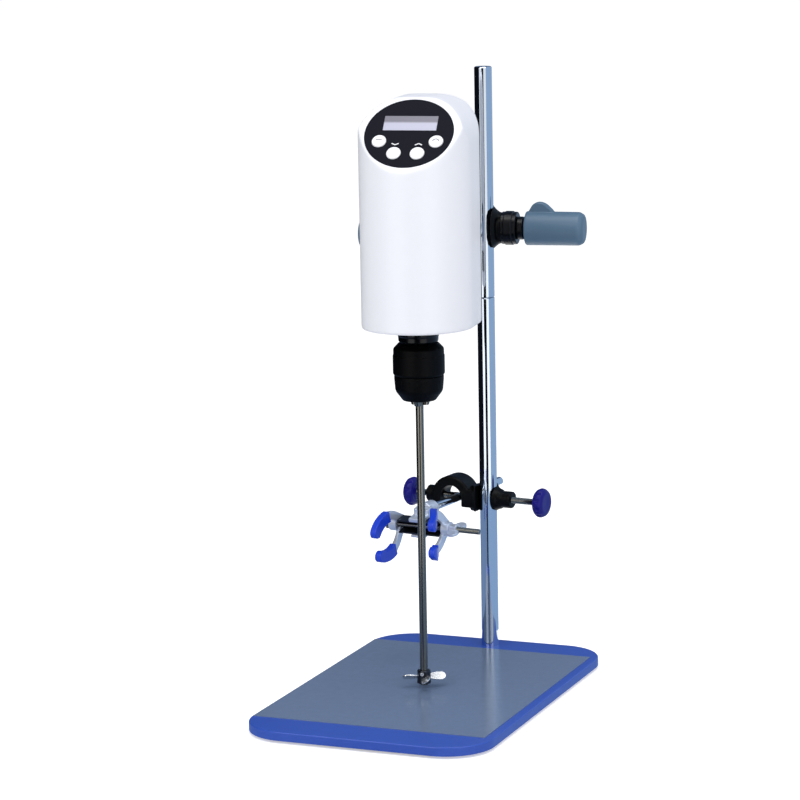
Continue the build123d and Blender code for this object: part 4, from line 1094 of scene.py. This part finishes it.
@dataclass
class Drive:
    """What the motor turns: the keyless chuck, the stirring shaft and the impeller."""

    tip: float = 271.0
    nose_radius: float = 10.0
    core_radius: float = 16.0
    core_full: float = 281.0
    split: float = 292.0
    ring_radius: float = 22.7
    ring_top: float = 316.7
    top: float = 320.7
    throat: float = 17.4
    shaft_radius: float = 3.5
    spindle_radius: float = 6.0
    spindle_end: float = 314.0
    jaw_radius: float = 3.2
    jaw_out: float = 5.26
    jaw_lean: float = 14.0
    jaw_foot: float = 265.5
    jaw_turns: Corner = (-90, 30, 150)
    sleeve_low: float = 270.0
    sleeve_radius: float = 21.7
    waist: Point = (20.8, 8.5)
    sleeve_nose: float = 14.4
    flutes: int = 18
    flute: float = 1.3
    shaft_ends: Point = (13.5, 312.0)
    hub_radius: float = 6.0
    hub: Point = (15.0, 27.0)
    blade_reach: float = 19.5
    blade_wide: float = 9.0
    blade_thick: float = 1.2
    blade_neck: float = 10.5
    blade_lean: float = 35.0
    blade_turn: float = 20.0
    blades: int = 4
    screw_up: float = 24.4
    screw_radius: float = 1.6
    screw_long: float = 4.0
    socket_radius: float = 0.85

    def chuck(self) -> None:
        """The chuck's body with its upper ring, bored for the shaft and for three jaws."""
        bore, spindle = self.shaft_radius + FIT, self.spindle_radius + FIT
        shape = Shape().turn([
            (bore, self.tip, 0), (self.nose_radius, self.tip, 0.5), (self.core_radius, self.core_full, 1.0),
            (self.core_radius, self.split + 0.3, 0), (self.ring_radius - 1.2, self.split + 0.3, 0.3),
            (self.ring_radius, self.split + 1.8, 0.8), (self.ring_radius, self.ring_top - 7.0, 0.4),
            (self.ring_radius - 0.5, self.ring_top - 6.4, 0.4),
            (self.ring_radius - 0.5, self.ring_top - 1.0, 1.2),
            (self.throat, self.top, 0.8), (spindle, self.top, 0), (spindle, self.spindle_end, 0),
            (bore, self.spindle_end, 0),
        ], 96, ring=True)
        bores = Shape()
        for turn in self.jaw_turns:
            hole = Shape().disc(self.jaw_radius + 0.15, -2, 23.4, 1, 32)
            foot = turned(turn, "Z") @ shift(self.jaw_out, 0, self.jaw_foot)
            bores.add(hole.place(foot @ turned(self.jaw_lean, "Y")))
        shape.mix(bores, Mix.CUT).place(PLACES.spindle())
        shape.piece("chuck", "drive", [SLEEVE], ["chuck_body"], 30.0)

    def sleeve(self) -> None:
        """The turning sleeve of the chuck, with grip flutes round it."""
        waist, nose = self.waist
        shape = Shape().turn([
            (self.nose_radius + 0.3, self.sleeve_low, 0.2), (self.sleeve_nose, self.sleeve_low, 0.8),
            (waist, self.sleeve_low + nose, 2.0), (self.sleeve_radius, self.split - 3, 0.6),
            (self.sleeve_radius, self.split, 0.8), (self.core_radius + 0.3, self.split, 0),
            (self.core_radius + 0.3, self.core_full - 0.3, 0), (self.nose_radius + 0.3, self.tip - 0.3, 0),
        ], 144, ring=True)
        cuts, out = Shape(), self.sleeve_radius + 0.6 * self.flute
        for index in range(self.flutes):
            place = turned(360 / self.flutes * index, "Z") @ shift(out, 0, 0)
            cuts.add(Shape().disc(self.flute, self.sleeve_low + nose, self.split - 3, 1, 20).place(place))
        shape.mix(cuts, Mix.CUT).place(PLACES.spindle())
        shape.piece("chuck_grip_sleeve", "chuck_sleeve", [SLEEVE], ["chuck_sleeve"], 30.0)

    def shaft(self) -> None:
        """The long stirring shaft."""
        low, high = self.shaft_ends
        r = self.shaft_radius
        shape = Shape().turn([(0, low, 0), (r, low, 0.6), (r, high, 0.5), (0, high, 0)], 64)
        shape.place(PLACES.spindle()).piece("shaft", "drive", [STEEL], ["stirring_shaft"])

    def impeller(self) -> None:
        """The hub with its pitched, rounded blades, and the bore of its set screw."""
        low, high = self.hub
        r, bore = self.hub_radius, self.shaft_radius + FIT
        hub = [(bore, low, 0.2), (r + 0.4, low, 1.0), (r, low + 4, 2.0), (r, high, 1.2), (bore, high, 0.2)]
        shape = Shape().turn(hub, 64, ring=True)
        x, y, half = self.blade_reach, self.blade_wide / 2, self.blade_thick / 2
        root, neck = bore + 0.6, self.blade_neck
        corners = [(root, -2.6, 0), (neck, -y, 3.0), (x, -y, 4.3), (x, y, 4.3), (neck, y, 3.0),
                   (root, 2.6, 0)]
        for index in range(self.blades):
            blade = Shape().slab(corners, -half, half, 8).soften(0.35, 2, 60)
            turn = turned(360 / self.blades * index + self.blade_turn, "Z")
            blade.place(turn @ shift(0, 0, (low + high) / 2) @ turned(self.blade_lean, "X"))
            shape.mix(blade, Mix.JOIN)
        hole = Shape().disc(self.screw_radius + 0.1, 0, 2 * r, 1, 32)
        shape.mix(hole.place(shift(0, 0, self.screw_up) @ turned(90, "X")), Mix.CUT)
        shape.paint(1, lambda f: f.calc_center_median().xy.length > r + 0.3)
        shape.place(PLACES.spindle()).piece("stirrer_blades", "drive", [CHANNEL, BLADE], ["impeller"], 30.0)

    def set_screw(self) -> None:
        """The impeller's set screw, with its six-sided socket."""
        start = self.shaft_radius + FIT
        high = start + self.screw_long
        shape = Shape().disc(self.screw_radius, start, high, 1, 32).soften(0.2, 2, 60)
        shape.mix(Shape().disc(self.socket_radius, high - 1.2, high + 1, 1, 6), Mix.CUT)
        shape.place(PLACES.spindle() @ shift(0, 0, self.screw_up) @ turned(90, "X"))
        shape.piece("socket_screw", "drive", [BRIGHT], ["impeller_set_screw"], 30.0)

    def build(self) -> None:
        """Makes all that turns."""
        self.chuck()
        self.sleeve()
        self.shaft()
        self.impeller()
        self.set_screw()
        dress(STEEL, "spindle", "chuck_jaw_1", "chuck_jaw_2", "chuck_jaw_3")
        dress(COPPER, "motor_rotor")


@dataclass
class Rear:
    """What is on the head's back: the bar with its flange, the inlet, the switch; and what is inside."""

    back: float = 56.0
    bar_height: float = 395.0
    bar_radius: float = 6.5
    bar_end: float = 141.0
    flange: Point = (20.0, 5.0)
    screw_circle: float = 14.5
    screw_head: Point = (3.2, 1.6)
    screw_socket: float = 1.3
    rocker: Corner = (13.5, 56.5, 358.0)
    rocker_lean: float = 16.0

    def _behind(self) -> Matrix:
        """The bar's frame: Z backwards out of the head's back face, Y up."""
        return PLACES.spindle() @ shift(0, self.back, self.bar_height) @ turned(-90, "X") @ turned(180, "Z")

    def bar(self) -> None:
        """The bar and its flange, turned from one piece, with four screws."""
        wide, thick = self.flange
        r, end = self.bar_radius, self.bar_end
        profile = [(0, 0, 0), (wide, 0, 0.4), (wide, thick, 1.0), (r + 3, thick, 0), (r, thick + 3, 2.4),
                   (r, end, 1.0), (0, end, 0)]
        shape = Shape().turn(profile, 72)
        shape.place(self._behind()).piece("head_bar", "head", [CHROME], ["support_bar"])
        head, tall = self.screw_head
        screws, high = Shape(), thick + tall
        for corner in (45, 135, 225, 315):
            screw = Shape().turn([(0, thick, 0), (head, thick, 0.2), (head, high, 0.7), (0, high, 0)], 40)
            screw.mix(Shape().disc(self.screw_socket, thick + 0.5, thick + 3, 1, 6), Mix.CUT)
            screws.add(screw.place(turned(corner, "Z") @ shift(self.screw_circle, 0, 0)))
        screws.place(self._behind()).piece("flange_screw_heads", "head", [DARK], ["flange_screws"], 30.0)

    def inlet(self) -> None:
        """The mains inlet with its edges broken."""
        shape = Shape.of_node("mains_inlet").soften(0.35, 2, 50)
        shape.piece("inlet", "head", [BLACK, BRIGHT], ["mains_inlet"], 30.0)

    def switch(self) -> None:
        """The power rocker with its on and off marks."""
        x, y, z = self.rocker
        face = PLACES.spindle() @ shift(x, y, z) @ turned(-90, "X") @ turned(180, "Z")
        stroke = [(-0.5, -6.5, 0.4), (0.5, -6.5, 0.4), (0.5, -2.6, 0.4), (-0.5, -2.6, 0.4)]
        marks, high = Shape().slab(stroke, 0, PRINT_THICK, 3), PRINT_THICK
        ring = Shape().turn([(1.5, 0, 0), (2.1, 0, 0), (2.1, high, 0), (1.5, high, 0)], 40, ring=True)
        marks.add(ring.place(turned(self.rocker_lean, "X") @ shift(0, 4.8, 0)))
        shape = Shape.of_node("power_rocker").soften(0.5, 3, 40)
        shape.add(marks.place(face).paint(1, lambda f: True))
        shape.piece("rocker", "power_rocker", [BLACK, PRINT], ["power_rocker"], 30.0)

    def build(self) -> None:
        """Makes the back of the head and dresses what is inside it."""
        self.bar()
        self.inlet()
        self.switch()
        dress(DARK, "cover_screws")
        dress(STEEL, "motor_can", "spindle_bearings")
        dress(ZINC, "motor_bracket")


@dataclass
class Knob:
    """A fluted knob on its threaded screw, about the screw's own axis."""

    frame: Matrix
    name: str
    low: float
    screw_start: float
    radius: float = 13.5
    thick: float = 11.0
    edge: float = 3.2
    flutes: int = 10
    flute: float = 2.6
    flute_out: float = 1.2
    socket: float = 7.7
    screw_radius: float = 3.0
    pitch: float = 1.0
    thread_depth: float = 0.45

    def build(self) -> None:
        """Makes the knob and its screw."""
        low, high, deep = self.low, self.low + self.thick, self.low + self.socket
        r, flat, bore = self.radius, self.radius - self.edge, self.screw_radius + FIT
        shape = Shape().turn([
            (bore, low, 0), (flat - 3, low, 0.5), (flat - 2, low + 0.8, 0.5), (flat, low + 0.6, 1.0),
            (r, low + self.edge, 2.0), (r, high - self.edge, 2.0), (flat, high, 2.0),
            (0, high - 0.5, 0), (0, deep, 0), (bore, deep, 0),
        ], 120, ring=True)
        cuts = Shape()
        for index in range(self.flutes):
            place = turned(360 / self.flutes * index, "Z") @ shift(r + self.flute_out, 0, 0)
            cuts.add(Shape().disc(self.flute, low - 1, high + 1, 1, 24).place(place))
        shape.mix(cuts, Mix.CUT).melt(0.4, 5).place(self.frame)
        shape.piece(f"{self.name}_grip_knob", f"{self.name}_knob", [KNOB], [f"{self.name}_knob"], 60.0)
        screw = Shape().thread(self.screw_radius, self.thread_depth, self.pitch, self.screw_start, deep - 0.2)
        screw.place(self.frame)
        screw.piece(f"{self.name}_thread", f"{self.name}_knob", [STEEL], [f"{self.name}_screw"], 50.0)


@dataclass
class ClampBoss:
    """The cast boss that holds the finger clamp's bar on the rod."""

    rod_bore: float = 8.3
    bar_bore: float = 4.3
    hook_radius: float = 11.0
    lobe: float = 17.0
    pad: float = 2.5
    rod_screw_bare: float = 24.0
    bar_screw_bare: float = 12.0
    taper: tuple[Corner, ...] = ((19, 1.5, 0), (10.8, 8.6, 2.0), (8.8, 14.0, 1.5), (8.6, 30.0, 0))

    def build(self) -> None:
        """Makes the casting, the knobs with their screws, and dresses the pads."""
        boss = PLACES.clamp_boss()
        past_bar = 2 * self.hook_radius - self.bar_bore + self.lobe
        rod_side = PLACES.screw(boss, 0, 0, 1)
        casting = tapered(Shape.of_node("clamp_boss_body"), rod_side, self.taper)
        casting.melt(0.6, 7).piece("clamp_casting", "clamp_boss", [IRON], ["clamp_boss_body"], 70.0)
        bar_side = PLACES.screw(boss, PLACES.clamp_bar_x, -PLACES.clamp_bar_drop, -1)
        Knob(rod_side, "clamp_rod", self.rod_bore + self.lobe + self.rod_screw_bare,
             self.rod_bore + self.pad).build()
        Knob(bar_side, "clamp_bar", past_bar + self.bar_screw_bare, self.bar_bore + self.pad).build()
        dress(DARK, "clamp_rod_pad", "clamp_bar_pad")


@dataclass
class FingerClamp:
    """The finger clamp: its bar, channel, thread, sleeved fingers and wing nut."""

    bar_radius: float = 4.0
    bar_ends: Point = (-76.0, 70.0)
    thread_radius: float = 2.6
    thread_pitch: float = 0.8
    thread_depth: float = 0.35
    thread_end: float = 60.0
    square: Point = (8.0, 4.0)
    outer: float = 30.9

    def bar(self) -> None:
        """The plated bar, its ends rounded."""
        low, high = self.bar_ends
        r = self.bar_radius
        shape = Shape().turn([(0, low, 0), (r, low, 1.2), (r, high, 0.6), (0, high, 0)], 64)
        place = PLACES.clamp_boss() @ shift(PLACES.clamp_bar_x, 0, -PLACES.clamp_bar_drop) @ turned(90, "X")
        shape.place(place).piece("clamp_rod_bar", "clamp_bar", [CHROME], ["clamp_bar"])

    def thread(self) -> None:
        """The threaded rod that draws the jaws together, with its square head."""
        side, tall = self.square
        low = -self.outer - 0.5
        shape = Shape().thread(self.thread_radius, self.thread_depth, self.thread_pitch, low, self.thread_end)
        head = Shape().block((side, side, tall), (0, 0, -self.outer - tall / 2)).soften(0.5, 2, 60)
        shape.add(head).place(PLACES.clamp_head() @ turned(90, "Y"))
        shape.piece("clamp_long_thread", "clamp_head", [STEEL], ["clamp_thread"], 50.0)

    def build(self) -> None:
        """Makes every piece of the finger clamp."""
        self.bar()
        self.thread()
        yoke = Shape.of_node("clamp_yoke").melt(0.5, 6)
        yoke.piece("yoke_casting", "clamp_head", [ZINC], ["clamp_yoke"], 70.0)
        channel = Shape.of_node("clamp_channel").soften(0.35, 2, 50)
        channel.piece("channel_plate", "clamp_head", [CHANNEL], ["clamp_channel"], 30.0)
        for node, name, body, finish, voxel, rounds in (
            ("left_jaw", "left_fingers", "clamp_head", ZINC, 0.42, 6),
            ("left_jaw_tips", "left_sleeves", "clamp_head", VINYL, 0.42, 5),
            ("right_jaw", "right_fingers", "right_jaw", ZINC, 0.42, 6),
            ("right_jaw_tips", "right_sleeves", "right_jaw", VINYL, 0.42, 5),
            ("wing_nut", "wing_nut_casting", "wing_nut", ZINC, 0.35, 5),
        ):
            Shape.of_node(node).melt(voxel, rounds).piece(name, body, [finish], [node], 70.0)


# ---------------------------------------------------------------- studio
@dataclass
class Studio:
    """The floor, the lights, the dark and pale glowing cards that paint reflections on the metal, and the
    camera.
    """

    floor_size: float = 60.0
    camera_place: Corner = (1.01182, -2.53691, 0.76243)
    yaw: float = 0.3873515463
    pitch: float = 0.1786188951
    roll: float = -0.0180453175
    lens: float = 142.973
    glow: float = 0.47
    surround: Colour = (0.99, 0.995, 1.0)
    card_step: float = 4.0

    def camera(self) -> None:
        """The camera at the object's own viewing angle."""
        data = bpy.data.cameras.new("camera")
        data.sensor_width = 36.0
        data.lens = self.lens
        data.clip_end = 200.0
        cam = bpy.data.objects.new("camera", data)
        bpy.context.scene.collection.objects.link(cam)
        level = math.cos(self.pitch)
        ahead = Vector((-math.sin(self.yaw) * level, math.cos(self.yaw) * level, -math.sin(self.pitch)))
        right = Vector((math.cos(self.yaw), math.sin(self.yaw), 0))
        up = right.cross(ahead)
        c, s = math.cos(self.roll), math.sin(self.roll)
        axes = Matrix((c * right + s * up, -s * right + c * up, -ahead)).transposed()
        cam.matrix_world = Matrix.Translation(self.camera_place) @ axes.to_4x4()
        bpy.context.scene.camera = cam

    def _lit(self, graph: Graph) -> Value:
        """1 for the camera's own rays and for those that metal and glass mirror, else 0."""
        path = graph.node("ShaderNodeLightPath")
        seen = path["Is Camera Ray"] + path["Is Glossy Ray"] + path["Is Transmission Ray"]
        return seen > 0.5

    def _sheet(self, name: str, bm: bmesh.types.BMesh) -> tuple[bpy.types.Object, Graph]:
        """A thing of the studio alone.

        Args:
            name: Its name.
            bm: Its mesh, in metres.

        Returns:
            The object, and the empty graph of its material.
        """
        mesh = bpy.data.meshes.new(name)
        bm.to_mesh(mesh)
        bm.free()
        material = bpy.data.materials.new(name)
        material.use_nodes = True
        mesh.materials.append(material)
        obj = bpy.data.objects.new(name, mesh)
        bpy.context.scene.collection.objects.link(obj)
        return obj, Graph(material.node_tree)

    def floor(self) -> None:
        """A plain pale floor that keeps the object's shadow."""
        bm = bmesh.new()
        bmesh.ops.create_grid(bm, x_segments=1, y_segments=1, size=self.floor_size / 2)
        _, graph = self._sheet("floor", bm)
        plain = graph.node("ShaderNodeBsdfDiffuse", None, {"Color": (0.9, 0.9, 0.9)})["BSDF"]
        inputs = {"Color": (1.0, 1.0, 1.0), "Strength": self._lit(graph) * self.glow}
        glow = graph.node("ShaderNodeEmission", None, inputs)
        both = graph.node("ShaderNodeAddShader", None, {0: plain, 1: glow["Emission"]})["Shader"]
        graph.node("ShaderNodeOutputMaterial", None, {"Surface": both})

    def world(self) -> None:
        """A plain white surround."""
        world = bpy.data.worlds.new("surround")
        world.use_nodes = True
        graph = Graph(world.node_tree)
        inputs = {"Color": self.surround, "Strength": self._lit(graph) * 0.4 + 0.6}
        shade = graph.node("ShaderNodeBackground", None, inputs)
        graph.node("ShaderNodeOutputWorld", None, {"Surface": shade["Background"]})
        bpy.context.scene.world = world

    def lamp(self, name: str, place: Corner, aim: Corner, size: float, power: float) -> None:
        """A soft square lamp.

        Args:
            name: Its name.
            place: Where it stands, in metres.
            aim: What it points at.
            size: Its side.
            power: Its power, in watts.
        """
        data = bpy.data.lights.new(name, "AREA")
        data.shape = "SQUARE"
        data.size = size
        data.energy = power
        obj = bpy.data.objects.new(name, data)
        bpy.context.scene.collection.objects.link(obj)
        obj.location = place
        obj.rotation_euler = (Vector(aim) - Vector(place)).to_track_quat("-Z", "Y").to_euler()

    def card(self, name: str, shade: Colour, start: float, end: float, foot: Point = (0.75, 0.0),
             top: Point = (0.75, 2.4)) -> None:
        """A glowing card, bent round the rod, that only mirrored rays see: it paints a reflection on the
        metal.

        Args:
            name: Its name.
            shade: Its colour.
            start: The bearing of one edge from the rod, in degrees from -Y towards +X.
            end: The bearing of its other edge.
            foot: How far its foot is from the rod, and how high, in metres.
            top: How far its top is from the rod, and how high.
        """
        bm = bmesh.new()
        middle = PLACES.rod().translation * MM
        steps = max(2, round(abs(end - start) / self.card_step))
        pairs = []
        for index in range(steps + 1):
            bearing = math.radians(start + (end - start) * index / steps)
            x, y = math.sin(bearing), -math.cos(bearing)
            pairs.append([bm.verts.new((middle.x + r * x, middle.y + r * y, z)) for r, z in (foot, top)])
        for one, two in zip(pairs, pairs[1:]):
            bm.faces.new((one[0], two[0], two[1], one[1]))
        obj, graph = self._sheet(name, bm)
        glow = graph.node("ShaderNodeEmission", None, {"Color": shade, "Strength": 1.0})["Emission"]
        graph.node("ShaderNodeOutputMaterial", None, {"Surface": glow})
        obj.visible_camera = False
        obj.visible_diffuse = False
        obj.visible_transmission = False
        obj.visible_shadow = False

    def build(self) -> None:
        """Sets the studio up."""
        self.camera()
        self.floor()
        self.world()
        self.lamp("key", (-0.9, -2.4, 2.2), (0, 0, 0.3), 1.6, 26.0)
        self.lamp("fill", (2.4, -1.2, 1.6), (0, 0, 0.3), 1.8, 10.0)
        self.lamp("top", (0.3, -0.3, 2.0), (0, 0, 0), 1.2, 14.0)
        # Glowing cards that paint dark and pale reflection bands on the chrome rod; the low ones paint those
        # at its foot.
        self.card("card_left", tint(14, 16, 22), -138, -31)
        self.card("card_front", tint(8, 9, 14), -1, 26)
        self.card("card_right", tint(158, 184, 214), 57, 178)
        self.card("card_back", tint(90, 108, 136), 178, 222)
        near, far = (0.1, 0.0004), (0.75, 0.0006)
        self.card("low_left", tint(122, 144, 178), -138, -6, near, far)
        self.card("low_front", tint(14, 18, 30), -6, 12, near, far)
        self.card("low_right", tint(150, 178, 212), 12, 178, near, far)
        settings = bpy.context.scene.view_settings
        settings.view_transform = "Standard"


def main() -> None:
    """Builds the studio and every sub-assembly in order."""
    logging.basicConfig(level=logging.INFO, format="%(message)s")
    for part in (Studio, Stand, HeadBoss, Housing, Panel, Rear, Drive, ClampBoss, FingerClamp):
        part().build()


if __name__ == "__main__":
    main()
